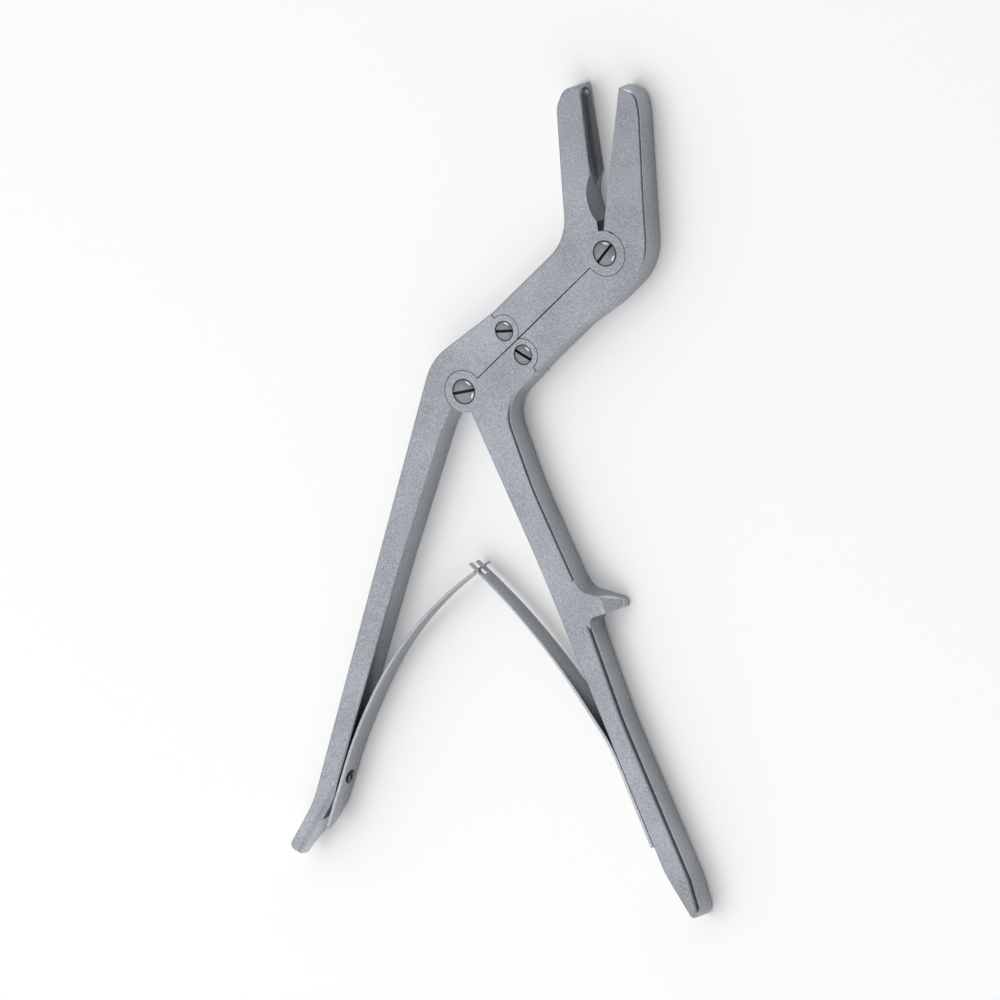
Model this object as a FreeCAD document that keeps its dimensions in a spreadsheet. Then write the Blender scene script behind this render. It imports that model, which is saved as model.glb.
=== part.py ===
"""Bone rongeur with double action, a bayonet neck and two leaf springs.

Two handles turn on the handle pivot and two jaws on the jaw pivot. Each handle
carries its jaw on a link screw, so the jaws close by about half of what the
handles do. At all four pivots the plates are halved into a lap joint: the disc
of one plate turns in the recess of the other.

Units are millimetres. The origin is the handle pivot's axis on the face that
lies on the table, +Z is up and +Y points from the handles to the jaws.
"""

import FreeCAD, Part
import math
import os
import re
from dataclasses import dataclass

import Sketcher
from FreeCAD import Placement, Rotation, Vector

SIZES = (
    # The four plates and the fits between them
    ("body_thickness", 9.65, "thickness of handles and jaws"),
    ("lap_gap", 0.10, "gap between the two halves of a lap joint"),
    ("seam_gap", 0.30, "gap between the paired arms of the neck"),
    ("shoulder_gap", 0.25, "gap between a handle's end and its jaw"),
    ("recess_clearance", 0.20, "gap round a disc in its recess"),
    ("pivot_clearance", 0.04, "radial play of a pivot screw"),
    ("loop_clearance", 0.16, "radial play of the left link screw"),
    ("thread_clearance", 0.02, "radial play of a screw in its thread"),
    ("head_clearance", 0.15, "gap round a screw head in its counterbore"),
    ("seat_clearance", 0.04, "gap under a screw head"),
    # The linkage, seen from above
    ("neck_angle", 41.3, "direction of the neck from +X, degrees"),
    ("neck_length", 70.3, "handle pivot to jaw pivot"),
    ("neck_half_width", 11.8, "neck axis to each side of the neck"),
    ("link_reach", 24.8, "handle pivot to the link screws along the neck"),
    ("link_spread", 4.83, "neck axis to each link screw"),
    ("handle_disc", 6.7, "radius of the handle pivot's discs"),
    ("link_disc", 5.06, "radius of the link discs"),
    ("jaw_disc", 7.15, "radius of the jaw pivot's discs"),
    ("outline_start", 3.0, "how far inside a disc an outline starts"),
    # Left handle
    ("left_grip_angle", 249.6, "direction of the left grip from +X, degrees"),
    ("left_root_inner", 1.8, "inner side beside the pivot"),
    ("left_hip_reach", 15.0, "where the inner side bends near the pivot"),
    ("left_hip_inner", 3.45, "grip axis to the inner side there"),
    ("left_hip_round", 25.0, "radius of that bend"),
    ("left_bow_reach", 62.0, "where the inner side turns parallel"),
    ("left_bow_round", 300.0, "radius of the bow"),
    ("left_inner_offset", 4.5, "grip axis to the inner side"),
    ("left_shoulder_back", 2.2, "outer shoulder behind the handle pivot"),
    ("left_shoulder_out", 14.7, "neck axis to the outer shoulder"),
    ("left_shoulder_round", 20.0, "radius of the outer shoulder"),
    ("left_flare_length", 17.9, "length of the flared end on the outer side"),
    ("left_flare_out", 10.7, "grip axis to the outer side there"),
    ("left_flare_round", 34.0, "radius of the flare"),
    ("left_heel_length", 17.9, "length of the bent end on the inner side"),
    ("left_heel_turn", 13.8, "how far it bends out, degrees"),
    ("left_heel_round", 25.0, "radius of that bend"),
    ("left_heel_soft", 3.2, "radius of the heel's soft front edge"),
    ("left_end_reach", 163.9, "handle pivot to the end of the left grip"),
    ("left_end_outer", 14.45, "outer corner of the end"),
    ("left_end_slope", 1.0, "how much shorter the outer corner is"),
    ("left_end_round", 1.7, "radius of the end's corners"),
    ("left_thin_length", 12.9, "length of the end whose back is cut away"),
    ("left_thin_slope", 9.5, "length of the slope that leads to it"),
    ("left_end_thickness", 2.9, "thickness left at the end"),
    ("left_thin_round", 9.0, "radius at the slope's foot"),
    ("left_edge_round", 0.45, "radius of the left handle's edges"),
    # Right handle
    ("right_grip_angle", 292.56, "direction of the right grip from +X, degrees"),
    ("right_root_inner", -0.65, "inner side beside the pivot"),
    ("right_inner_offset", 1.32, "grip axis to the inner side"),
    ("right_bow_reach", 60.0, "where the inner side's bow ends"),
    ("right_bow_round", 420.0, "radius of the bow"),
    ("nose_out", 12.1, "neck axis to the right handle's nose"),
    ("nose_round", 2.5, "radius of the right handle's nose"),
    ("hip_reach", 9.3, "handle pivot to the bend under the nose"),
    ("hip_out", 11.4, "grip axis to the outer side there"),
    ("hip_round", 11.0, "radius of that bend"),
    ("waist_reach", 36.0, "handle pivot to the waist"),
    ("waist_out", 9.95, "grip axis to the outer side at the waist"),
    ("waist_round", 120.0, "radius of the waist"),
    ("spur_root_reach", 71.4, "handle pivot to the spur's upper root"),
    ("spur_root_out", 11.2, "outer side at the upper root"),
    ("spur_root_round", 5.5, "radius of the upper root"),
    ("spur_length", 10.5, "how far the finger spur stands out"),
    ("spur_slope", 7.4, "upper root to upper tip along the grip"),
    ("spur_tip_width", 2.7, "width of the spur's tip"),
    ("spur_tip_round", 1.25, "radius of the spur's tip"),
    ("spur_base_width", 9.2, "width of the spur at its root"),
    ("spur_base_out", 10.3, "outer side at the lower root"),
    ("spur_base_round", 2.6, "radius of the lower root"),
    ("right_palm_reach", 114.0, "where the outer side turns parallel"),
    ("right_palm_out", 8.6, "grip axis to the outer side there"),
    ("right_palm_round", 120.0, "radius of the palm side"),
    ("right_taper_length", 11.7, "length of the narrowing end"),
    ("right_taper_out", 9.3, "outer side there"),
    ("right_taper_round", 12.0, "radius of the taper"),
    ("right_end_reach", 179.7, "handle pivot to the end of the right grip"),
    ("right_end_inner", 4.3, "inner corner of the end"),
    ("right_end_outer", 7.8, "outer corner of the end"),
    ("right_end_round", 3.2, "radius of the end's outer corner"),
    ("right_heel_length", 16.7, "length of the inner side's run to the end"),
    ("right_heel_round", 22.0, "radius of that bend"),
    ("right_upper_round", 0.9, "radius of the outer edges above the spur"),
    ("right_lower_round", 1.5, "radius of the outer edges below the spur"),
    ("right_inner_round", 0.4, "radius of the inner edges"),
    ("spur_slope_out", 4.2, "how far from its tip the spur's front slopes down"),
    ("spur_slope_drop", 5.6, "how far that slope drops at the tip"),
    # Jaws
    ("left_jaw_angle", 96.7, "direction of the left cutting edge, degrees"),
    ("right_jaw_angle", 80.9, "direction of the right cutting edge, degrees"),
    ("left_rim", 1.2, "jaw pivot to the left cutting edge's line"),
    ("right_rim", 1.15, "jaw pivot to the right cutting edge's line"),
    ("jaw_length", 53.4, "jaw pivot to the tips"),
    ("left_tip_shoulder", 6.9, "first corner of the left tip, outwards"),
    ("left_tip_drop", 0.9, "first corner of the left tip, back"),
    ("left_tip_round", 5.2, "radius of the first corner"),
    ("left_cheek_reach", 47.0, "jaw pivot to the second corner"),
    ("left_cheek_out", 10.15, "second corner, outwards"),
    ("left_cheek_round", 8.0, "radius of the second corner"),
    ("left_bend_reach", 62.2, "neck bend on the left, along the neck"),
    ("left_bend_round", 17.0, "radius of the left bend"),
    ("right_tip_shoulder", 4.8, "first corner of the right tip, outwards"),
    ("right_tip_drop", 0.6, "first corner of the right tip, back"),
    ("right_tip_round", 4.2, "radius of the first corner"),
    ("right_cheek_reach", 46.5, "jaw pivot to the second corner"),
    ("right_cheek_out", 7.0, "second corner, outwards"),
    ("right_cheek_round", 6.0, "radius of the second corner"),
    ("right_bend_reach", 78.6, "neck bend on the right, along the neck"),
    ("right_bend_out", 13.5, "neck axis to the right bend"),
    ("right_bend_round", 20.0, "radius of the right bend"),
    ("flare_start", 47.0, "where the right side of the neck widens"),
    ("flare_end", 60.0, "where that widening ends"),
    ("flare_round", 24.0, "radius of the widening"),
    ("taper_start", 22.0, "jaw pivot to where the jaws get thinner"),
    ("tip_thickness", 7.8, "thickness of the jaws at their tips"),
    ("jaw_edge_round", 0.7, "radius of the jaws' outer edges and tips"),
    ("cup_lift", 0.6, "cutting edge to the cup's axis, into the mouth"),
    ("cup_radius", 4.25, "radius of the cup at its root"),
    ("cup_tip_radius", 3.35, "radius of the cup near the tip"),
    ("cup_tip_wall", 1.2, "wall between the cup and the tip"),
    ("cup_end_round", 3.1, "radius of the cup's end"),
    ("cup_root", 27.0, "jaw pivot to the cup's widest place"),
    ("cup_tail", 11.0, "jaw pivot to where the cup runs out"),
    ("cup_tail_round", 16.0, "radius between cup and tail"),
    ("relief_reach", 17.6, "jaw pivot to the middle of the relief"),
    ("relief_depth", 2.3, "depth of the relief below the cutting edge"),
    ("relief_round", 13.1, "radius of the relief"),
    # Screws
    ("handle_head", 7.9, "diameter of the handle pivot screw's head"),
    ("jaw_head", 8.1, "diameter of the jaw pivot screw's head"),
    ("pivot_shank", 5.0, "diameter of the pivot screws' shanks"),
    ("pivot_head_height", 1.9, "height of a pivot screw's head"),
    ("link_head", 6.3, "diameter of the link screws' heads"),
    ("link_shank", 3.8, "diameter of the link screws' shanks"),
    ("link_head_height", 1.6, "height of a link screw's head"),
    ("head_crown", 0.22, "how far a head's middle stands proud"),
    ("slot_width", 0.95, "width of the driver slots"),
    ("slot_depth", 0.85, "depth of the driver slots"),
    ("handle_slot_angle", 12.0, "direction of the slot, degrees"),
    ("jaw_slot_angle", 48.0, "direction of the slot, degrees"),
    ("left_link_slot_angle", 5.0, "direction of the slot, degrees"),
    ("right_link_slot_angle", -28.0, "direction of the slot, degrees"),
    # Leaf springs
    ("leaf_width", 8.6, "width of a leaf at its seat, across the plates"),
    ("leaf_thickness", 1.4, "thickness of a leaf"),
    ("leaf_seat_gap", 0.03, "gap between a leaf and its handle"),
    ("left_leaf_tail", 17.6, "screw to the left leaf's lower end"),
    ("left_leaf_seat", 13.4, "screw to where the left leaf leaves its handle"),
    ("left_exit_share", 0.14, "half the bend there, of the leaf's free span"),
    ("right_leaf_tail", 22.8, "screw to the right leaf's lower end"),
    ("right_leaf_seat", 14.9, "screw to where the right leaf leaves its handle"),
    ("right_exit_share", 0.0775, "half the bend there, of the leaf's free span"),
    ("meeting_x", 0.3, "where the leaves cross"),
    ("meeting_y", -57.0, "where the leaves cross"),
    ("left_tip_angle", 36.0, "direction of the left leaf's end, degrees"),
    ("left_corner_share", 0.448, "crossing back to the left curve's corner, of that span"),
    ("left_curve_share", 0.3605, "corner to either end of that curve, of that span"),
    ("left_tip_width", 4.0, "width of the left leaf at its end"),
    ("right_tip_angle", 139.8, "direction of the right leaf's end, degrees"),
    ("right_corner_share", 0.3907, "crossing back to the right curve's corner, of that span"),
    ("right_curve_share", 0.3638, "corner to either end of that curve, of that span"),
    ("right_tip_width", 6.6, "width of the right leaf at its end"),
    ("leaf_taper", 60.0, "length over which a leaf gets narrower"),
    ("leaf_end_length", 13.7, "length over which a leaf's lower end runs to a point"),
    ("leaf_end_curve", 14.0, "radius of that end's back edge"),
    ("leaf_end_round", 0.9, "radius of a leaf's lower point"),
    ("fork_overhang", 2.9, "fork beyond the crossing"),
    ("fork_slot", 2.4, "width of the slot in the fork"),
    ("fork_slot_depth", 5.4, "depth of the slot in the fork"),
    ("tongue_width", 1.9, "width of the left leaf's tongue"),
    ("tongue_start", 1.3, "tongue before the crossing"),
    ("tongue_overhang", 3.1, "tongue beyond the crossing"),
    ("hook_width", 3.7, "width of the head on the tongue"),
    ("hook_length", 1.1, "length of the head on the tongue"),
    # Spring screws
    ("spring_screw_reach", 135.0, "handle pivot to the spring screws"),
    ("spring_head", 4.5, "diameter of a spring screw's head"),
    ("spring_head_height", 0.5, "height of a spring screw's head"),
    ("spring_shank", 2.6, "diameter of a spring screw's shank"),
    ("spring_shank_length", 5.2, "length of a spring screw under its head"),
    ("spring_hole_clearance", 0.15, "radial gap round that shank in the leaf"),
    ("spring_slot_angle", 40.0, "direction of a spring screw's slot, degrees"),
    ("spring_slot_width", 0.7, "width of a spring screw's slot"),
    ("spring_slot_depth", 0.3, "depth of a spring screw's slot"),
)

MIDDLE = "body_thickness / 2"
LOWER_TOP = "(body_thickness - lap_gap) / 2"
UPPER_BOTTOM = "(body_thickness + lap_gap) / 2"
PARTS_FOLDER = "parts"
CUT_MARGIN = 2.0


class Sizes:
    """The sheet of driving dimensions, and the expressions that read it."""

    def __init__(self, document, rows):
        self.sheet = document.addObject("Spreadsheet::Sheet", "Sizes")
        for number, (name, value, meaning) in enumerate(rows, start=1):
            self.sheet.set(f"A{number}", name)
            self.sheet.set(f"B{number}", str(value))
            self.sheet.set(f"C{number}", meaning)
            self.sheet.setAlias(f"B{number}", name)
        document.recompute()
        self.names = re.compile(r"\b(" + "|".join(row[0] for row in rows) + r")\b")

    def bound(self, text):
        """Return the expression with each size's name bound to the sheet."""
        return self.names.sub(r"Sizes.\1", text)

    def value(self, text):
        """Return what the expression is worth now."""
        return float(self.sheet.evalExpression(self.bound(text)))


class Frame:
    """A frame in the plates' plane; its points are (along, out) expressions."""

    def __init__(self, angle, side, origin=("0", "0")):
        self.angle = angle
        self.side = side
        self.origin = origin

    def point(self, along, out):
        """Return the x and y expressions of a point of this frame."""
        across = f"{self.side} * ({out})"
        x = f"{self.origin[0]} + ({along}) * cos({self.angle}) - {across} * sin({self.angle})"
        y = f"{self.origin[1]} + ({along}) * sin({self.angle}) + {across} * cos({self.angle})"
        return x, y


HANDLE_PIVOT = ("0", "0")
JAW_PIVOT = ("neck_length * cos(neck_angle)", "neck_length * sin(neck_angle)")
LEFT_NECK = Frame("neck_angle", 1)
RIGHT_NECK = Frame("neck_angle", -1)
LEFT_GRIP = Frame("left_grip_angle", -1)
RIGHT_GRIP = Frame("right_grip_angle", 1)
LEFT_JAW = Frame("left_jaw_angle", 1, JAW_PIVOT)
RIGHT_JAW = Frame("right_jaw_angle", -1, JAW_PIVOT)
LEFT_LINK = LEFT_NECK.point("link_reach", "link_spread")
RIGHT_LINK = RIGHT_NECK.point("link_reach", "link_spread")


class Piece:
    """One physical piece: a PartDesign body and the features that shape it."""

    def __init__(self, document, sizes, label):
        self.document = document
        self.sizes = sizes
        self.body = document.addObject("PartDesign::Body", label.title().replace("_", ""))
        self.body.Label = label

    def bind(self, thing, prop, text):
        """Bind a property of a feature to an expression of the sizes."""
        thing.setExpression(prop, self.sizes.bound(text))

    def sketch(self, name, role="XY_Plane", base=(None, None, None), turn=None):
        """Add a sketch on an origin plane, shifted and turned by expressions."""
        plane = next(item for item in self.body.Origin.OriginFeatures if item.Role == role)
        sketch = self.body.newObject("Sketcher::SketchObject", name)
        sketch.AttachmentSupport = (plane, [""])
        sketch.MapMode = "FlatFace"
        axis = Vector(0, 0, 1) if role == "XY_Plane" else Vector(0, 1, 0)
        angle = self.sizes.value(turn) if turn else 0.0
        shift = [self.sizes.value(text) if text else 0.0 for text in base]
        sketch.AttachmentOffset = Placement(Vector(*shift), Rotation(axis, angle))
        for letter, text in zip("xyz", base):
            if text:
                self.bind(sketch, f"AttachmentOffset.Base.{letter}", text)
        if turn:
            self.bind(sketch, "AttachmentOffset.Rotation.Angle", turn)
        return sketch

    def add(self, kind, name, sketch):
        """Add a sketched feature and take its sketch as the profile."""
        feature = self.body.newObject(f"PartDesign::{kind}", name)
        feature.Profile = sketch
        return feature

    def pad(self, name, sketch, length, middle=False):
        """Pad a sketch upwards, or to both sides of its plane."""
        pad = self.add("Pad", name, sketch)
        pad.Midplane = middle
        self.bind(pad, "Length", length)
        return pad

    def cut(self, name, sketch, depth, middle=False):
        """Cut a sketch downwards, or to both sides of its plane."""
        pocket = self.add("Pocket", name, sketch)
        pocket.Midplane = middle
        self.bind(pocket, "Length", depth)
        return pocket

    def plate(self, name, corners):
        """Pad a rounded outline through the whole thickness."""
        sketch = self.sketch(f"{name}Outline")
        draw_outline(self.sizes, sketch, corners)
        return self.pad(name, sketch, "body_thickness")

    def disc(self, name, centre, radius, bottom, height):
        """Pad a disc that starts at the given height."""
        sketch = self.sketch(f"{name}Circle", base=(None, None, bottom))
        draw_circle(self.sizes, sketch, centre, radius)
        return self.pad(name, sketch, height)

    def bore(self, name, centre, radius, top, depth):
        """Cut a round hole or recess down from the given height."""
        sketch = self.sketch(f"{name}Circle", base=(None, None, top))
        draw_circle(self.sizes, sketch, centre, radius)
        return self.cut(name, sketch, depth)

    def round_edges(self, name, radius, spots):
        """Round the edges nearest to the given points, and all tangent to them."""
        self.document.recompute()
        base = self.body.Tip
        edges = list(enumerate(base.Shape.Edges, start=1))
        names = []
        for spot in spots:
            mark = Part.Vertex(*(self.sizes.value(text) for text in spot))
            number, _ = min(edges, key=lambda item: item[1].distToShape(mark)[0])
            names.append(f"Edge{number}")
        fillet = self.body.newObject("PartDesign::Fillet", name)
        fillet.Base = (base, names)
        self.bind(fillet, "Radius", radius)
        return fillet


def front_and_back(*spots):
    """Return each point of the plates' plane on the front and on the back."""
    return [(*spot, level) for spot in spots for level in ("0", "body_thickness")]


def apply_constraints(sizes, sketch, free, driven):
    """Add the free constraints, then the driven ones with their expressions."""
    sketch.addConstraint(free)
    first = sketch.ConstraintCount
    sketch.addConstraint([constraint for constraint, _ in driven])
    for number, (_, text) in enumerate(driven, start=first):
        sketch.setExpression(f"Constraints[{number}]", sizes.bound(text))


def held(sizes, geometry, position, spot):
    """Return the driven constraints that hold a point at its expressions."""
    return [
        (Sketcher.Constraint(kind, -1, 1, geometry, position, sizes.value(text)), text)
        for kind, text in zip(("DistanceX", "DistanceY"), spot)
    ]


def draw_circle(sizes, sketch, centre, radius):
    """Draw a circle held by its centre and radius."""
    x, y = (sizes.value(text) for text in centre)
    size = sizes.value(radius)
    circle = sketch.addGeometry(Part.Circle(Vector(x, y, 0), Vector(0, 0, 1), size))
    driven = held(sizes, circle, 3, centre)
    driven.append((Sketcher.Constraint("Radius", circle, size), radius))
    apply_constraints(sizes, sketch, [], driven)


def corner_arc(spot, back, ahead, size, by_reach):
    """Return a corner's rounding and where it meets the two sides.

    Its size is its radius, or how far it reaches along each side.
    """
    half = back.getAngle(ahead) / 2
    radius = size * math.tan(half) if by_reach else size
    trim = radius / math.tan(half)
    inward = (back + ahead).normalize()
    centre = spot + inward * (radius / math.sin(half))
    ends = (spot + back * trim, spot + ahead * trim)
    turns_left = ahead.cross(back).z > 0
    first, last = ends if turns_left else ends[::-1]
    start, stop = (math.atan2(end.y - centre.y, end.x - centre.x) for end in (first, last))
    if stop < start:
        stop += 2 * math.pi
    circle = Part.Circle(centre, Vector(0, 0, 1), radius)
    return Part.ArcOfCircle(circle, start, stop), ends, turns_left


def draw_outline(sizes, sketch, corners, closed=True, by_reach=False):
    """Draw sides between corners given as (x, y) or (x, y, size) expressions.

    Every corner is held by its two expressions. A corner with a size gets an
    arc tangent to both sides, and its own point is kept where the sides cross.
    The size is the arc's radius, or its reach along each side if by_reach.
    """
    spots = [Vector(sizes.value(corner[0]), sizes.value(corner[1]), 0) for corner in corners]
    count = len(corners)
    arcs = {}
    for index, corner in enumerate(corners):
        if len(corner) > 2:
            back = (spots[index - 1] - spots[index]).normalize()
            ahead = (spots[(index + 1) % count] - spots[index]).normalize()
            arcs[index] = corner_arc(spots[index], back, ahead, sizes.value(corner[2]),
                                     by_reach)
    sides = []
    for index in range(count if closed else count - 1):
        after = (index + 1) % count
        start = arcs[index][1][1] if index in arcs else spots[index]
        stop = arcs[after][1][0] if after in arcs else spots[after]
        sides.append(sketch.addGeometry(Part.LineSegment(start, stop)))
    free = []
    driven = []
    for index, corner in enumerate(corners):
        before = sides[index - 1] if closed or index else None
        after = sides[index] if index < len(sides) else None
        if index not in arcs:
            if before is not None and after is not None:
                free.append(Sketcher.Constraint("Coincident", before, 2, after, 1))
            geometry, position = (after, 1) if after is not None else (before, 2)
            driven += held(sizes, geometry, position, corner)
            continue
        arc_shape, _, turns_left = arcs[index]
        arc = sketch.addGeometry(arc_shape)
        entry, leave = (1, 2) if turns_left else (2, 1)
        mark = sketch.addGeometry(Part.Point(spots[index]), True)
        free.append(Sketcher.Constraint("Tangent", before, 2, arc, entry))
        free.append(Sketcher.Constraint("Tangent", arc, leave, after, 1))
        free.append(Sketcher.Constraint("PointOnObject", mark, 1, before))
        free.append(Sketcher.Constraint("PointOnObject", mark, 1, after))
        size = sizes.value(corner[2])
        driven += held(sizes, mark, 1, corner[:2])
        if by_reach:
            limit = Sketcher.Constraint("Distance", mark, 1, arc, entry, size)
        else:
            limit = Sketcher.Constraint("Radius", arc, size)
        driven.append((limit, corner[2]))
    apply_constraints(sizes, sketch, free, driven)


@dataclass
class Pivot:
    """A lap joint with its screw, all given as expressions of the sizes."""

    name: str
    centre: tuple
    disc: str
    head: str
    head_height: str
    shank: str
    play: str
    slot_angle: str

    def halve_above(self, piece):
        """Leave the plate its upper half, with a disc, hole and counterbore."""
        name = self.name
        piece.bore(f"{name}Recess", self.centre, f"{self.disc} + recess_clearance",
                   UPPER_BOTTOM, UPPER_BOTTOM)
        piece.disc(f"{name}Disc", self.centre, self.disc, UPPER_BOTTOM, LOWER_TOP)
        piece.bore(f"{name}Hole", self.centre, f"{self.shank} / 2 + {self.play}",
                   "body_thickness", "body_thickness")
        piece.bore(f"{name}Counterbore", self.centre, f"{self.head} / 2 + head_clearance",
                   "body_thickness", f"{self.head_height} + seat_clearance")

    def halve_below(self, piece):
        """Leave the plate its lower half, with a disc and a threaded hole."""
        name = self.name
        piece.bore(f"{name}Recess", self.centre, f"{self.disc} + recess_clearance",
                   "body_thickness", UPPER_BOTTOM)
        piece.disc(f"{name}Disc", self.centre, self.disc, None, LOWER_TOP)
        piece.bore(f"{name}Thread", self.centre, f"{self.shank} / 2 + thread_clearance",
                   LOWER_TOP, LOWER_TOP)

    def screw(self, document, sizes, label):
        """Make the screw: a crowned head, a shank and a driver slot."""
        piece = Piece(document, sizes, label)
        profile = piece.sketch("Profile", role="XZ_Plane")
        under_head = f"body_thickness - {self.head_height}"
        draw_outline(sizes, profile, [
            ("0", "0"),
            (f"{self.shank} / 2", "0"),
            (f"{self.shank} / 2", under_head),
            (f"{self.head} / 2", under_head),
            (f"{self.head} / 2", "body_thickness - head_crown / 2"),
            (f"{self.head} / 4", "body_thickness + head_crown", f"{self.head} * 2"),
            ("0", "body_thickness + head_crown"),
        ])
        turned = piece.add("Revolution", "Turned", profile)
        turned.ReferenceAxis = (profile, ["V_Axis"])
        turned.Angle = 360
        slot = piece.sketch("SlotOutline", turn=self.slot_angle,
                            base=(None, None, "body_thickness + head_crown"))
        draw_box(sizes, slot, f"-{self.head}", self.head, "-slot_width / 2", "slot_width / 2")
        piece.cut("Slot", slot, "slot_depth")
        for letter, text in zip("xy", self.centre):
            piece.bind(piece.body, f"Placement.Base.{letter}", text)
        return piece


def draw_box(sizes, sketch, left, right, low, high, frame=None):
    """Draw a rectangle, along the sketch's own axes or those of a frame."""
    corners = [(left, low), (right, low), (right, high), (left, high)]
    if frame:
        corners = [frame.point(*corner) for corner in corners]
    draw_outline(sizes, sketch, corners)


HANDLE_JOINT = Pivot("HandlePivot", HANDLE_PIVOT, "handle_disc", "handle_head",
                     "pivot_head_height", "pivot_shank", "pivot_clearance",
                     "handle_slot_angle")
JAW_JOINT = Pivot("JawPivot", JAW_PIVOT, "jaw_disc", "jaw_head",
                  "pivot_head_height", "pivot_shank", "pivot_clearance", "jaw_slot_angle")
LEFT_LINK_JOINT = Pivot("LeftLink", LEFT_LINK, "link_disc", "link_head",
                        "link_head_height", "link_shank", "loop_clearance",
                        "left_link_slot_angle")
RIGHT_LINK_JOINT = Pivot("RightLink", RIGHT_LINK, "link_disc", "link_head",
                         "link_head_height", "link_shank", "pivot_clearance",
                         "right_link_slot_angle")


def trim_at_seam(piece, neck):
    """Cut a link disc flat where it would reach over the neck's seam."""
    sketch = piece.sketch("SeamOutline", base=(None, None, "body_thickness"))
    draw_box(piece.sizes, sketch, "link_reach - link_disc", "link_reach + link_disc",
             "seam_gap / 2 - link_disc", "seam_gap / 2", neck)
    piece.cut("Seam", sketch, "body_thickness")


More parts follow.
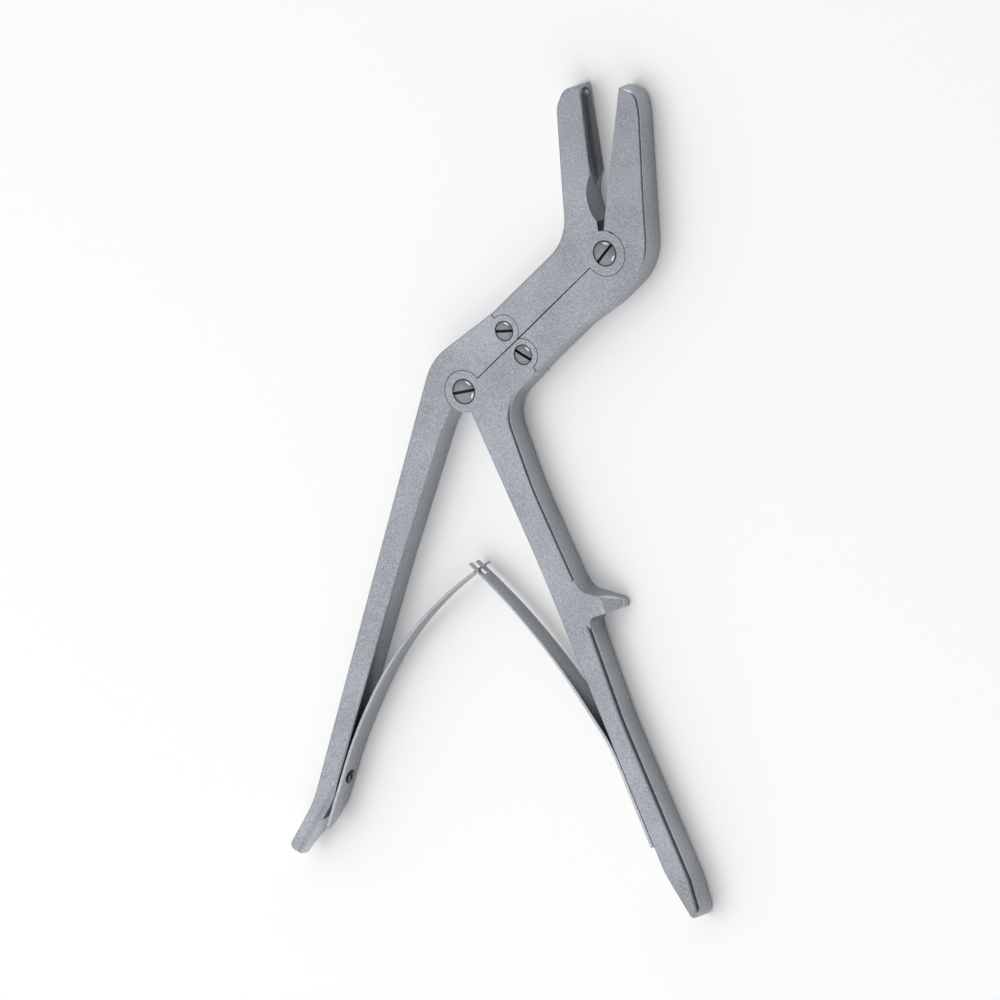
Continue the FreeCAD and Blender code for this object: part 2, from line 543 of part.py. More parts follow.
@dataclass
class Leaf:
    """A leaf spring, its screw and its seat on the inner side of a grip."""

    name: str
    grip: Frame
    inward_turn: str
    to_end: int
    overhang: str

    def __post_init__(self):
        """Name the sizes that belong to this side."""
        self.inner = f"{self.name}_inner_offset"
        self.tip_angle = f"{self.name}_tip_angle"
        self.end = f"spring_screw_reach + {self.name}_leaf_tail"
        self.exit = f"spring_screw_reach - {self.name}_leaf_seat"

    def tip_frame(self):
        """Return the frame of the leaf's last straight, at the crossing."""
        return Frame(self.tip_angle, 1, ("meeting_x", "meeting_y"))

    def facing_sketch(self, piece, name, out):
        """Add a sketch across the screw's axis, at a distance from the grip axis."""
        x, y = self.grip.point("spring_screw_reach", out)
        return piece.sketch(name, "XZ_Plane", (x, MIDDLE, f"-({y})"), self.inward_turn)

    def span_share(self, share):
        """Return a share of the way from the leaf's exit to the crossing."""
        x, y = self.grip.point(self.exit, self.inner)
        span = f"sqrt(({x} - meeting_x)^2 + ({y} - meeting_y)^2)"
        return f"{self.name}_{share}_share * {span}"

    def face(self):
        """Return the offset of the leaf's face under the screw head."""
        return f"{self.inner} - leaf_seat_gap - leaf_thickness"

    def make(self, document, sizes):
        """Sweep the leaf along its path and drill it for its screw."""
        piece = Piece(document, sizes, f"{self.name}_spring")
        tip = self.tip_frame()
        middle = f"{self.inner} - leaf_seat_gap - leaf_thickness / 2"
        path = piece.sketch("Path", base=(None, None, MIDDLE))
        draw_outline(sizes, path, [
            self.grip.point(self.end, middle),
            (*self.grip.point(self.exit, middle), self.span_share("exit")),
            (*tip.point(f"-{self.span_share('corner')}", "0"), self.span_share("curve")),
            tip.point(self.overhang, "0"),
        ], closed=False, by_reach=True)
        x, y = self.grip.point(self.end, middle)
        section = piece.sketch("Section", "XZ_Plane", (x, MIDDLE, f"-({y})"),
                               f"{self.grip.angle} + 90")
        draw_box(sizes, section, "-leaf_thickness / 2", "leaf_thickness / 2",
                 "-leaf_width / 2", "leaf_width / 2")
        swept = piece.add("AdditivePipe", "Swept", section)
        swept.Spine = (path, [])
        self.taper(piece)
        self.point_end(piece)
        piece.round_edges("EndRounding", "leaf_end_round", [(x, y, "body_thickness")])
        hole = self.facing_sketch(piece, "HoleCircle", self.face())
        draw_circle(sizes, hole, ("0", "0"), "spring_shank / 2 + spring_hole_clearance")
        piece.cut("Hole", hole, "leaf_thickness")
        return piece

    def point_end(self, piece):
        """Run the leaf's back edge in a curve to a point at its lower end."""
        tail = f"{self.name}_leaf_tail"
        sketch = self.facing_sketch(piece, "EndOutline", self.inner)
        start = f"{self.to_end} * ({tail} - leaf_end_length)"
        beyond = f"{self.to_end} * ({tail} + {CUT_MARGIN})"
        draw_outline(piece.sizes, sketch, [
            (start, "-leaf_width / 2"),
            (f"{self.to_end} * ({tail} - leaf_end_length * 0.32)", "-leaf_width / 2",
             "leaf_end_curve"),
            (f"{self.to_end} * {tail}", "leaf_width / 2"),
            (beyond, "leaf_width / 2"),
            (beyond, "-leaf_width"),
            (start, "-leaf_width"),
        ])
        piece.cut("EndPoint", sketch, "leaf_thickness * 6", middle=True)

    def taper(self, piece):
        """Make the leaf narrower from its seat to its end."""
        x, y = self.tip_frame().origin
        sketch = piece.sketch("TaperOutline", "XZ_Plane", (x, MIDDLE, f"-({y})"),
                              self.tip_angle)
        beyond = f"{self.overhang} + {CUT_MARGIN}"
        for sign in ("", "-"):
            draw_outline(piece.sizes, sketch, [
                ("-leaf_taper", f"{sign}leaf_width / 2"),
                (beyond, f"{sign}{self.name}_tip_width / 2"),
                (beyond, f"{sign}leaf_width"),
                ("-leaf_taper", f"{sign}leaf_width"),
            ])
        piece.cut("Taper", sketch, "leaf_taper * 2", middle=True)

    def make_screw(self, document, sizes):
        """Make the spring screw in place: head, shank and slot."""
        piece = Piece(document, sizes, f"{self.name}_spring_screw")
        seat = f"{self.face()} - seat_clearance"
        x, y = self.grip.point("spring_screw_reach", seat)
        profile = piece.sketch("Profile", "XZ_Plane", (x, MIDDLE, f"-({y})"),
                               f"{self.inward_turn} + 90")
        draw_outline(sizes, profile, [
            ("-spring_head_height", "0"),
            ("-spring_head_height", "spring_head / 4", "spring_head * 0.6"),
            ("-spring_head_height / 3", "spring_head / 2"),
            ("0", "spring_head / 2"),
            ("0", "spring_shank / 2"),
            ("spring_shank_length", "spring_shank / 2"),
            ("spring_shank_length", "0"),
        ])
        turned = piece.add("Revolution", "Turned", profile)
        turned.ReferenceAxis = (profile, ["H_Axis"])
        turned.Angle = 360
        slot = self.facing_sketch(piece, "SlotOutline", f"{seat} - spring_head_height")
        draw_box(sizes, slot, "-spring_head", "spring_head", "-spring_slot_width / 2",
                 "spring_slot_width / 2", Frame("spring_slot_angle", 1))
        piece.cut("Slot", slot, "spring_slot_depth")
        return piece

    def thread_in(self, piece):
        """Drill the handle for the spring screw."""
        hole = self.facing_sketch(piece, "SpringThread", self.inner)
        draw_circle(piece.sizes, hole, ("0", "0"), "spring_shank / 2 + thread_clearance")
        piece.cut("SpringThreadHole", hole, "spring_shank_length")


LEFT_LEAF = Leaf("left", LEFT_GRIP, "left_grip_angle + 180", -1, "tongue_overhang")
RIGHT_LEAF = Leaf("right", RIGHT_GRIP, "right_grip_angle", 1, "fork_overhang")


def thin_end(piece):
    """Cut the back of the left grip's end away in a slope."""
    sketch = piece.sketch("EndSlope", "XZ_Plane", turn="left_grip_angle")
    start = "left_end_reach - left_thin_length"
    beyond = f"left_end_reach + {CUT_MARGIN}"
    level = "body_thickness - left_end_thickness"
    draw_outline(piece.sizes, sketch, [
        (start, "0"),
        (f"{start} + left_thin_slope", level, "left_thin_round"),
        (beyond, level),
        (beyond, f"-{CUT_MARGIN}"),
        (start, f"-{CUT_MARGIN}"),
    ])
    piece.cut("EndThinned", sketch, "left_end_outer * 4", middle=True)


def soften_heel(piece):
    """Round the front edge along the bent end, fading out above the heel."""
    x, y = LEFT_GRIP.point("left_end_reach - left_heel_length", "left_inner_offset")
    sketch = piece.sketch("HeelProfile", "XZ_Plane", (x, None, f"-({y})"),
                          "left_grip_angle - left_heel_turn - 90")
    top = "body_thickness"
    draw_outline(piece.sizes, sketch, [
        ("0", f"{top} - left_heel_soft - 0.2"),
        ("0", top, "left_heel_soft"),
        ("left_heel_soft + 0.2", top),
        ("left_heel_soft + 0.2", f"{top} + {CUT_MARGIN}"),
        (f"-{CUT_MARGIN}", f"{top} + {CUT_MARGIN}"),
        (f"-{CUT_MARGIN}", f"{top} - left_heel_soft - 0.2"),
    ])
    piece.cut("HeelRounding", sketch, "left_heel_length * 2.4", middle=True)


def make_left_handle(document, sizes):
    """Left handle: below at the handle pivot, above at its link."""
    piece = Piece(document, sizes, "left_handle")
    piece.plate("Plate", [
        LEFT_NECK.point("link_reach", "neck_half_width"),
        LEFT_NECK.point("link_reach", "seam_gap / 2"),
        LEFT_NECK.point("outline_start", "seam_gap / 2"),
        LEFT_GRIP.point("outline_start", "left_root_inner"),
        (*LEFT_GRIP.point("left_hip_reach", "left_hip_inner"), "left_hip_round"),
        (*LEFT_GRIP.point("left_bow_reach", "left_inner_offset"), "left_bow_round"),
        (*LEFT_GRIP.point("left_end_reach - left_heel_length", "left_inner_offset"), "left_heel_round"),
        (*LEFT_GRIP.point("left_end_reach",
                          "left_inner_offset + left_heel_length * tan(left_heel_turn)"),
         "left_end_round"),
        (*LEFT_GRIP.point("left_end_reach - left_end_slope", "left_end_outer"),
         "left_end_round"),
        (*LEFT_GRIP.point("left_end_reach - left_flare_length", "left_flare_out"), "left_flare_round"),
        (*LEFT_NECK.point("-left_shoulder_back", "left_shoulder_out"),
         "left_shoulder_round"),
    ])
    piece.round_edges("EdgeRounding", "left_edge_round", front_and_back(
        LEFT_GRIP.point("left_bow_reach", "left_inner_offset")))
    HANDLE_JOINT.halve_below(piece)
    LEFT_LINK_JOINT.halve_above(piece)
    trim_at_seam(piece, LEFT_NECK)
    thin_end(piece)
    soften_heel(piece)
    LEFT_LEAF.thread_in(piece)
    return piece


WAIST = ("waist_reach", "waist_out")
SPUR_ROOT = ("spur_root_reach", "spur_root_out")
SPUR_BASE = ("spur_root_reach + spur_base_width", "spur_base_out")
PALM = ("right_palm_reach", "right_palm_out")
SPUR_MIDDLE = "spur_root_reach + spur_base_width / 2"


def on_side(first, second, reach):
    """Return the point at a reach on the straight side through two corners."""
    rise = f"({second[1]} - ({first[1]})) / ({second[0]} - ({first[0]}))"
    return RIGHT_GRIP.point(reach, f"{first[1]} + {rise} * ({reach} - ({first[0]}))")


def add_spur(piece):
    """Pad the finger spur on the grip and slope its front down at the tip."""
    tip_out = "spur_root_out + spur_length"
    tip_reach = "spur_root_reach + spur_slope"
    sketch = piece.sketch("SpurOutline")
    draw_outline(piece.sizes, sketch, [
        on_side(WAIST, SPUR_ROOT, "spur_root_reach - spur_root_round * 0.7"),
        (*RIGHT_GRIP.point(*SPUR_ROOT), "spur_root_round"),
        (*RIGHT_GRIP.point(tip_reach, tip_out), "spur_tip_round"),
        (*RIGHT_GRIP.point(f"{tip_reach} + spur_tip_width", f"{tip_out} - 0.6"),
         "spur_tip_round"),
        (*RIGHT_GRIP.point(*SPUR_BASE), "spur_base_round"),
        on_side(SPUR_BASE, PALM, f"{SPUR_BASE[0]} + spur_base_round * 1.2"),
        RIGHT_GRIP.point(SPUR_MIDDLE, "spur_base_out - spur_base_width / 2"),
    ])
    piece.pad("Spur", sketch, "body_thickness")
    x, y = RIGHT_GRIP.point(SPUR_MIDDLE, "0")
    slope = piece.sketch("SpurSlope", "XZ_Plane", (x, None, f"-({y})"),
                         "right_grip_angle + 90")
    draw_outline(piece.sizes, slope, [
        (f"{tip_out} - spur_slope_out", "body_thickness"),
        (f"{tip_out} + {CUT_MARGIN}", "body_thickness - spur_slope_drop"
         f" * (1 + {CUT_MARGIN} / spur_slope_out)"),
        (f"{tip_out} + {CUT_MARGIN}", f"body_thickness + {CUT_MARGIN}"),
        (f"{tip_out} - spur_slope_out", f"body_thickness + {CUT_MARGIN}"),
    ])
    piece.cut("SpurFront", slope, "spur_base_width * 4", middle=True)


def trim_nose(piece):
    """Cut the plate off square where the right jaw's shoulder stands."""
    sketch = piece.sketch("NoseTrim", base=(None, None, "body_thickness"))
    draw_box(piece.sizes, sketch, "link_reach", f"link_reach + 2 * {CUT_MARGIN}",
             f"-{CUT_MARGIN}", f"nose_out + {CUT_MARGIN}", RIGHT_NECK)
    piece.cut("NoseTrimmed", sketch, "body_thickness")


def make_right_handle(document, sizes):
    """Right handle with the finger spur: above at both of its pivots."""
    piece = Piece(document, sizes, "right_handle")
    over = f"link_reach + {CUT_MARGIN} / 2"
    piece.plate("Plate", [
        (*RIGHT_NECK.point(over, "nose_out"), "nose_round"),
        (*RIGHT_GRIP.point("hip_reach", "hip_out"), "hip_round"),
        (*RIGHT_GRIP.point(*WAIST), "waist_round"),
        on_side(WAIST, SPUR_ROOT, f"{SPUR_MIDDLE} - 1"),
        RIGHT_GRIP.point(SPUR_MIDDLE, "spur_base_out - 3"),
        on_side(SPUR_BASE, PALM, f"{SPUR_MIDDLE} + 1"),
        (*RIGHT_GRIP.point(*PALM), "right_palm_round"),
        (*RIGHT_GRIP.point("right_end_reach - right_taper_length", "right_taper_out"),
         "right_taper_round"),
        (*RIGHT_GRIP.point("right_end_reach", "right_end_outer"), "right_end_round"),
        RIGHT_GRIP.point("right_end_reach", "right_end_inner"),
        (*RIGHT_GRIP.point("right_end_reach - right_heel_length", "right_inner_offset"),
         "right_heel_round"),
        (*RIGHT_GRIP.point("right_bow_reach", "right_inner_offset"), "right_bow_round"),
        RIGHT_GRIP.point("outline_start", "right_root_inner"),
        RIGHT_NECK.point("outline_start", "seam_gap / 2"),
        RIGHT_NECK.point(over, "seam_gap / 2"),
    ])
    piece.round_edges("UpperRounding", "right_upper_round",
                      front_and_back(RIGHT_GRIP.point(*WAIST)))
    piece.round_edges("LowerRounding", "right_lower_round",
                      front_and_back(RIGHT_GRIP.point(*PALM)))
    piece.round_edges("InnerRounding", "right_inner_round", front_and_back(
        RIGHT_GRIP.point("right_bow_reach", "right_inner_offset")))
    trim_nose(piece)
    add_spur(piece)
    HANDLE_JOINT.halve_above(piece)
    RIGHT_LINK_JOINT.halve_above(piece)
    trim_at_seam(piece, RIGHT_NECK)
    RIGHT_LEAF.thread_in(piece)
    return piece


def thin_to_tip(piece, angle):
    """Thin a jaw towards its tip from the front and from the back."""
    start = f"neck_length * cos({angle} - neck_angle) + taper_start"
    length = "(jaw_length - taper_start)"
    beyond = f"{start} + {length} + {CUT_MARGIN}"
    drop = f"(body_thickness - tip_thickness) / 2 * (1 + {CUT_MARGIN} / {length})"
    for name, face, out in (("Front", "body_thickness", "+"), ("Back", "0", "-")):
        inward = "-" if out == "+" else "+"
        sketch = piece.sketch(f"{name}TaperOutline", "XZ_Plane", turn=angle)
        draw_outline(piece.sizes, sketch, [
            (start, face),
            (beyond, f"{face} {inward} {drop}"),
            (beyond, f"{face} {out} {CUT_MARGIN}"),
            (start, f"{face} {out} {CUT_MARGIN}"),
        ])
        piece.cut(f"{name}Taper", sketch, "neck_length * 4", middle=True)


def hollow(piece, angle, side, rim):
    """Cut the cup that lies behind a jaw's cutting edge."""
    axis = f"({rim} - cup_lift)"
    x = f"{JAW_PIVOT[0]} - {side} * {axis} * sin({angle})"
    y = f"{JAW_PIVOT[1]} + {side} * {axis} * cos({angle})"
    sketch = piece.sketch("CupProfile", base=(x, y, MIDDLE), turn=angle)
    inner_end = "jaw_length - cup_tip_wall"
    draw_outline(piece.sizes, sketch, [
        ("cup_tail", "0"),
        ("cup_root", f"{side} * cup_radius", "cup_tail_round"),
        (inner_end, f"{side} * cup_tip_radius", "cup_end_round"),
        (inner_end, "0"),
    ])
    groove = piece.add("Groove", "Cup", sketch)
    groove.ReferenceAxis = (sketch, ["H_Axis"])
    groove.Angle = 360


def make_left_jaw(document, sizes):
    """Left jaw: above at the jaw pivot, below at its link."""
    piece = Piece(document, sizes, "left_jaw")
    start = "link_reach + shoulder_gap"
    piece.plate("Plate", [
        LEFT_NECK.point(start, "neck_half_width"),
        LEFT_NECK.point(start, "seam_gap / 2"),
        LEFT_NECK.point("neck_length - outline_start", "seam_gap / 2"),
        LEFT_JAW.point("outline_start", "left_rim"),
        LEFT_JAW.point("jaw_length", "left_rim"),
        (*LEFT_JAW.point("jaw_length - left_tip_drop", "left_tip_shoulder"),
         "left_tip_round"),
        (*LEFT_JAW.point("left_cheek_reach", "left_cheek_out"), "left_cheek_round"),
        (*LEFT_NECK.point("left_bend_reach", "neck_half_width"), "left_bend_round"),
    ])
    JAW_JOINT.halve_above(piece)
    LEFT_LINK_JOINT.halve_below(piece)
    trim_at_seam(piece, LEFT_NECK)
    thin_to_tip(piece, "left_jaw_angle")
    piece.round_edges("EdgeRounding", "jaw_edge_round", front_and_back(
        LEFT_NECK.point("left_bend_reach", "neck_half_width"),
        LEFT_JAW.point("left_cheek_reach", "left_cheek_out")))
    relief = LEFT_JAW.point("relief_reach", "left_rim + relief_depth - relief_round")
    piece.bore("Relief", relief, "relief_round", "body_thickness", "body_thickness")
    hollow(piece, "left_jaw_angle", 1, "left_rim")
    return piece


def make_right_jaw(document, sizes):
    """Right jaw: below at the jaw pivot and at its link."""
    piece = Piece(document, sizes, "right_jaw")
    start = "link_reach + shoulder_gap"
    piece.plate("Plate", [
        RIGHT_NECK.point(start, "neck_half_width"),
        (*RIGHT_NECK.point("flare_start", "neck_half_width"), "flare_round"),
        (*RIGHT_NECK.point("flare_end", "right_bend_out"), "flare_round"),
        (*RIGHT_NECK.point("right_bend_reach", "right_bend_out"), "right_bend_round"),
        (*RIGHT_JAW.point("right_cheek_reach", "right_cheek_out"), "right_cheek_round"),
        (*RIGHT_JAW.point("jaw_length - right_tip_drop", "right_tip_shoulder"),
         "right_tip_round"),
        RIGHT_JAW.point("jaw_length", "-right_rim"),
        RIGHT_JAW.point("outline_start", "-right_rim"),
        RIGHT_NECK.point("neck_length - outline_start", "seam_gap / 2"),
        RIGHT_NECK.point(start, "seam_gap / 2"),
    ])
    JAW_JOINT.halve_below(piece)
    RIGHT_LINK_JOINT.halve_below(piece)
    trim_at_seam(piece, RIGHT_NECK)
    thin_to_tip(piece, "right_jaw_angle")
    piece.round_edges("EdgeRounding", "jaw_edge_round", front_and_back(
        RIGHT_NECK.point("right_bend_reach", "right_bend_out"),
        RIGHT_JAW.point("right_cheek_reach", "right_cheek_out")))
    hollow(piece, "right_jaw_angle", -1, "-right_rim")
    return piece


def narrow(piece, name, frame, start, stop, width):
    """Cut a leaf down to a width between two places of its last straight."""
    margin = f"(leaf_width - {width}) / 2"
    for side, top in (("Upper", f"{MIDDLE} + leaf_width / 2"), ("Lower", f"{MIDDLE} - {width} / 2")):
        sketch = piece.sketch(f"{name}{side}Outline", base=(None, None, top))
        draw_box(piece.sizes, sketch, start, stop, "-leaf_thickness * 2",
                 "leaf_thickness * 2", frame)
        piece.cut(f"{name}{side}", sketch, margin)


def make_left_spring(document, sizes):
    """Left leaf with the tongue that passes through the other leaf's fork."""
    piece = LEFT_LEAF.make(document, sizes)
    tip = LEFT_LEAF.tip_frame()
    neck = "tongue_overhang - hook_length"
    narrow(piece, "Tongue", tip, "-tongue_start", neck, "tongue_width")
    narrow(piece, "Hook", tip, neck, "tongue_overhang + hook_length", "hook_width")
    return piece


def make_right_spring(document, sizes):
    """Right leaf with the fork."""
    piece = RIGHT_LEAF.make(document, sizes)
    sketch = piece.sketch("ForkOutline", base=(None, None, f"{MIDDLE} + fork_slot / 2"))
    draw_box(sizes, sketch, "fork_overhang - fork_slot_depth", "fork_overhang * 2",
             "-leaf_thickness * 2", "leaf_thickness * 2", RIGHT_LEAF.tip_frame())
    piece.cut("Fork", sketch, "fork_slot")
    return piece


def check(document, pieces):
    """Stop if an object failed or a piece has no sound shape."""
    for item in document.Objects:
        if {"Invalid", "Error"} & set(item.State):
            raise RuntimeError(f"{item.Label} failed: {item.State}")
    for piece in pieces:
        shape = piece.body.Shape
        if shape.isNull() or not shape.isValid() or len(shape.Solids) != 1:
            raise RuntimeError(f"{piece.body.Label} isn't one sound solid")


def main():
    """Build the document, check it and write each piece to its own file."""
    document = FreeCAD.newDocument("BoneRongeur")
    sizes = Sizes(document, SIZES)
    pieces = [
        make_left_handle(document, sizes),
        make_right_handle(document, sizes),
        make_left_jaw(document, sizes),
        make_right_jaw(document, sizes),
        make_left_spring(document, sizes),
        make_right_spring(document, sizes),
        HANDLE_JOINT.screw(document, sizes, "handle_pivot_screw"),
        JAW_JOINT.screw(document, sizes, "jaw_pivot_screw"),
        LEFT_LINK_JOINT.screw(document, sizes, "left_link_screw"),
        RIGHT_LINK_JOINT.screw(document, sizes, "right_link_screw"),
        LEFT_LEAF.make_screw(document, sizes),
        RIGHT_LEAF.make_screw(document, sizes),
    ]
    document.recompute()
    check(document, pieces)
    os.makedirs(PARTS_FOLDER, exist_ok=True)
    for piece in pieces:
        shape = piece.body.Shape
        shape.exportStep(os.path.join(PARTS_FOLDER, f"{piece.body.Label}.step"))
        print(f"{piece.body.Label}: {shape.Volume / 1000:.3f} cm3")


main()
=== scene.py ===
"""Bone rongeur with double action, shown lying open on a pale floor.

The CAD nodes give the two handles, the two jaws and all screws, and this file
gives them their steel. The two leaf springs are built here as meshes of their own,
because a leaf turns with its handle at the seat and with its own body at the tip.

Sizes in the classes are millimetres in the CAD frame, apart from the studio's
floor, lamps and clip distance, which are in metres. Meshes are written in metres.
"""

import logging
import math
from dataclasses import dataclass, field, replace
from enum import Enum

import bmesh
import bpy
import numpy as np
from mathutils import Matrix, Vector


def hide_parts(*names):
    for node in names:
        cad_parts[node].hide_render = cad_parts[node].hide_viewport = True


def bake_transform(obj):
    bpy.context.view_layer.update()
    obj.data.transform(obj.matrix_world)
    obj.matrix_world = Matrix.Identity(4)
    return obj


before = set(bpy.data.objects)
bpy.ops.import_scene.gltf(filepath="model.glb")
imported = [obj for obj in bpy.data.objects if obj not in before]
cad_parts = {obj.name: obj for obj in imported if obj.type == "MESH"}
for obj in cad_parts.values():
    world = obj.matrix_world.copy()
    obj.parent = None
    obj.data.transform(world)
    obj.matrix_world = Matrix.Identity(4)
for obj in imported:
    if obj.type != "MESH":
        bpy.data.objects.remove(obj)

LOG = logging.getLogger("bone_rongeur")
MM = 0.001
Pair = tuple[float, float]
Triple = tuple[float, float, float]
Colour = tuple[float, float, float]
Tree = bpy.types.NodeTree
Node = bpy.types.Node
Socket = bpy.types.NodeSocket
Strip = tuple[np.ndarray, list[list[int]]]


class Steel(Enum):
    """The finishes the tool is made in."""

    PLATE = "satin_steel"
    SCREW = "screw_steel"
    LEFT_LEAF_SCREW = "left_leaf_screw_steel"
    RIGHT_LEAF_SCREW = "right_leaf_screw_steel"
    LEAF = "spring_steel"


class LeafTip(Enum):
    """The two ends that hook into each other."""

    TONGUE = "tongue"
    FORK = "fork"


@dataclass(frozen=True)
class Slot:
    """Where a screw's slot lies: below a level along the screw's own axis."""

    axis: Triple
    level: float


@dataclass(frozen=True)
class PaintedLightSpot:
    """A spot where a highlight or a shade is painted into the colour.

    It is an ellipsoid with a soft edge, turned about +Z by degrees. The gain
    multiplies the colour, painting a highlight above 1 and a shade below 1, and
    the dulling adds to the roughness.
    """

    centre: Triple
    reach: Triple
    turn: float
    gain: float
    dulling: float = 0.0


@dataclass(frozen=True)
class ScrewHead:
    """A pivot screw's head, as seen from the front."""

    centre: Pair
    radius: float
    height: float = 9.75
    rim_share: float = 0.8
    streak: Triple = (1.25, 0.36, 1.0)
    gain: float = 3.6

    def glint(self, turn: float) -> PaintedLightSpot:
        """Return a painted glint: a bright streak inside the rim, where the domed head catches the
        light.

        Args:
            turn: where on the rim the streak lies, in degrees from +X.

        Returns:
            The streak, as a spot drawn out along the rim.
        """
        angle = math.radians(turn)
        reach = self.radius * self.rim_share
        spot = (self.centre[0] + reach * math.cos(angle),
                self.centre[1] + reach * math.sin(angle), self.height)
        return PaintedLightSpot(spot, self.streak, turn + 90, self.gain)


@dataclass(frozen=True)
class SteelFinish:
    """How one kind of steel looks.

    The faces that lie along the plates are ground flat. The sides get another
    tone of the same steel by their facing, which is painted light and shade, and
    the rounded edges between them get a painted highlight.
    """

    ground: Colour
    painted_side_tone: Colour
    painted_edge_highlight: Colour
    roughness: float
    grain_mm: float
    grain_tone: float
    grain_depth_mm: float
    slot: Slot | None = None
    # spots where a highlight or a shade is painted into the colour
    painted_light: tuple[PaintedLightSpot, ...] = ()


# Painted highlight on the finger spur's front, which is also worn duller where fingers rest.
FINGER_SPUR_SHEEN_AND_WEAR = PaintedLightSpot((49.2, -65.0, 8.0), (6.0, 6.0, 5.0), turn=0.0, gain=1.9, dulling=0.28)
# Painted highlight on the left grip's heel, with a little added roughness.
GRIP_HEEL_HIGHLIGHT = PaintedLightSpot((-66.6, -144.8, 8.0), (9.0, 12.0, 9.0), turn=0.0, gain=1.35, dulling=0.10)
# Painted highlight on the bevel at the right jaw's tip.
RIGHT_TIP_BEVEL_HIGHLIGHT = PaintedLightSpot((63.5, 98.6, 9.3), (3.2, 0.9, 1.6), turn=-14.0, gain=2.2)
# Painted glint on the end wall inside the left jaw's cup.
CUP_END_GLINT = PaintedLightSpot((46.8, 93.3, 5.5), (2.6, 0.8, 1.8), turn=-105.0, gain=3.2, dulling=0.05)
# Painted shade along the seam in the neck.
NECK_SEAM_SHADE = PaintedLightSpot((25.9, 22.6, 9.65), (26.0, 0.22, 1.2), turn=41.3, gain=0.35)

HANDLE_PIVOT_HEAD = ScrewHead((0.0, 0.0), 4.0)
JAW_PIVOT_HEAD = ScrewHead((52.81, 46.40), 4.0)
LEFT_LINK_HEAD = ScrewHead((15.45, 19.99), 3.2)
RIGHT_LINK_HEAD = ScrewHead((21.82, 12.74), 3.2)
# Painted glints on the domed rims of the pivot heads.
HEAD_GLINTS = (
    HANDLE_PIVOT_HEAD.glint(60.0), HANDLE_PIVOT_HEAD.glint(-21.0),
    JAW_PIVOT_HEAD.glint(82.0), JAW_PIVOT_HEAD.glint(-26.0),
    LEFT_LINK_HEAD.glint(70.0), RIGHT_LINK_HEAD.glint(49.0),
)

# Each steel's sides take a painted light or shade by facing, and its rounded edges a painted
# highlight.
PLATE_STEEL = SteelFinish(
    ground=(0.212, 0.223, 0.246), painted_side_tone=(0.370, 0.394, 0.420), painted_edge_highlight=(0.340, 0.356, 0.382),
    roughness=0.38, grain_mm=0.34, grain_tone=0.46, grain_depth_mm=0.016,
    painted_light=(FINGER_SPUR_SHEEN_AND_WEAR, GRIP_HEEL_HIGHLIGHT, RIGHT_TIP_BEVEL_HIGHLIGHT, CUP_END_GLINT, NECK_SEAM_SHADE),
)
SCREW_STEEL = SteelFinish(
    ground=(0.150, 0.157, 0.168), painted_side_tone=(0.110, 0.114, 0.122), painted_edge_highlight=(0.30, 0.31, 0.33),
    roughness=0.34, grain_mm=0.40, grain_tone=0.30, grain_depth_mm=0.008,
)
LEAF_STEEL = SteelFinish(
    ground=(0.270, 0.280, 0.300), painted_side_tone=(0.350, 0.368, 0.390), painted_edge_highlight=(0.480, 0.495, 0.520),
    roughness=0.34, grain_mm=0.32, grain_tone=0.42, grain_depth_mm=0.012,
)
FINISHES: dict[Steel, SteelFinish] = {
    Steel.PLATE: PLATE_STEEL,
    Steel.SCREW: replace(SCREW_STEEL, slot=Slot((0.0, 0.0, 1.0), 9.61), painted_light=HEAD_GLINTS),
    Steel.LEFT_LEAF_SCREW: replace(SCREW_STEEL, slot=Slot((0.9373, -0.3486, 0.0), -2.66)),
    Steel.RIGHT_LEAF_SCREW: replace(SCREW_STEEL, slot=Slot((-0.9234, -0.3838, 0.0), 0.42)),
    Steel.LEAF: LEAF_STEEL,
}


def feed(tree: Tree, entry: Socket, term: Socket | float | tuple[float, ...]) -> None:
    """Give an input its value: a link from a socket, or plain numbers.

    Args:
        tree: the nodes that the input is in.
        entry: the input.
        term: the socket or the numbers.
    """
    if isinstance(term, bpy.types.NodeSocket):
        tree.links.new(term, entry)
    else:
        entry.default_value = term


def calculate(tree: Tree, operation: str, *terms: Socket | float) -> Socket:
    """Apply a sum, product or the like to sockets and plain numbers.

    Args:
        tree: where the node goes.
        operation: the operation's name.
        terms: its terms, in order.

    Returns:
        The result's socket.
    """
    node = tree.nodes.new("ShaderNodeMath")
    node.operation = operation
    for entry, term in zip(node.inputs, terms):
        feed(tree, entry, term)
    return node.outputs[0]


def ramp(tree: Tree, value: Socket, source: Pair, target: Pair, smooth: bool) -> Socket:
    """Map a value from one range to another, and hold it at the ends.

    Args:
        tree: where the node goes.
        value: the value's socket.
        source: the range that it comes in.
        target: the range that it leaves in.
        smooth: whether it starts and stops gently.

    Returns:
        The result's socket.
    """
    node = tree.nodes.new("ShaderNodeMapRange")
    if smooth:
        node.interpolation_type = "SMOOTHSTEP"
    for name, number in zip(("From Min", "From Max", "To Min", "To Max"), (*source, *target)):
        node.inputs[name].default_value = number
    tree.links.new(value, node.inputs["Value"])
    return node.outputs["Result"]


def mix_colours(tree: Tree, share: Socket, start: Socket | tuple[float, ...],
                stop: Socket | tuple[float, ...]) -> Socket:
    """Mix two colours by a share.

    Args:
        tree: where the node goes.
        share: how much of the second colour there is.
        start: the first colour.
        stop: the second colour.

    Returns:
        The mixed colour's socket.
    """
    node = tree.nodes.new("ShaderNodeMix")
    node.data_type = "RGBA"
    tree.links.new(share, node.inputs["Factor"])
    feed(tree, node.inputs["A"], start)
    feed(tree, node.inputs["B"], stop)
    return node.outputs["Result"]


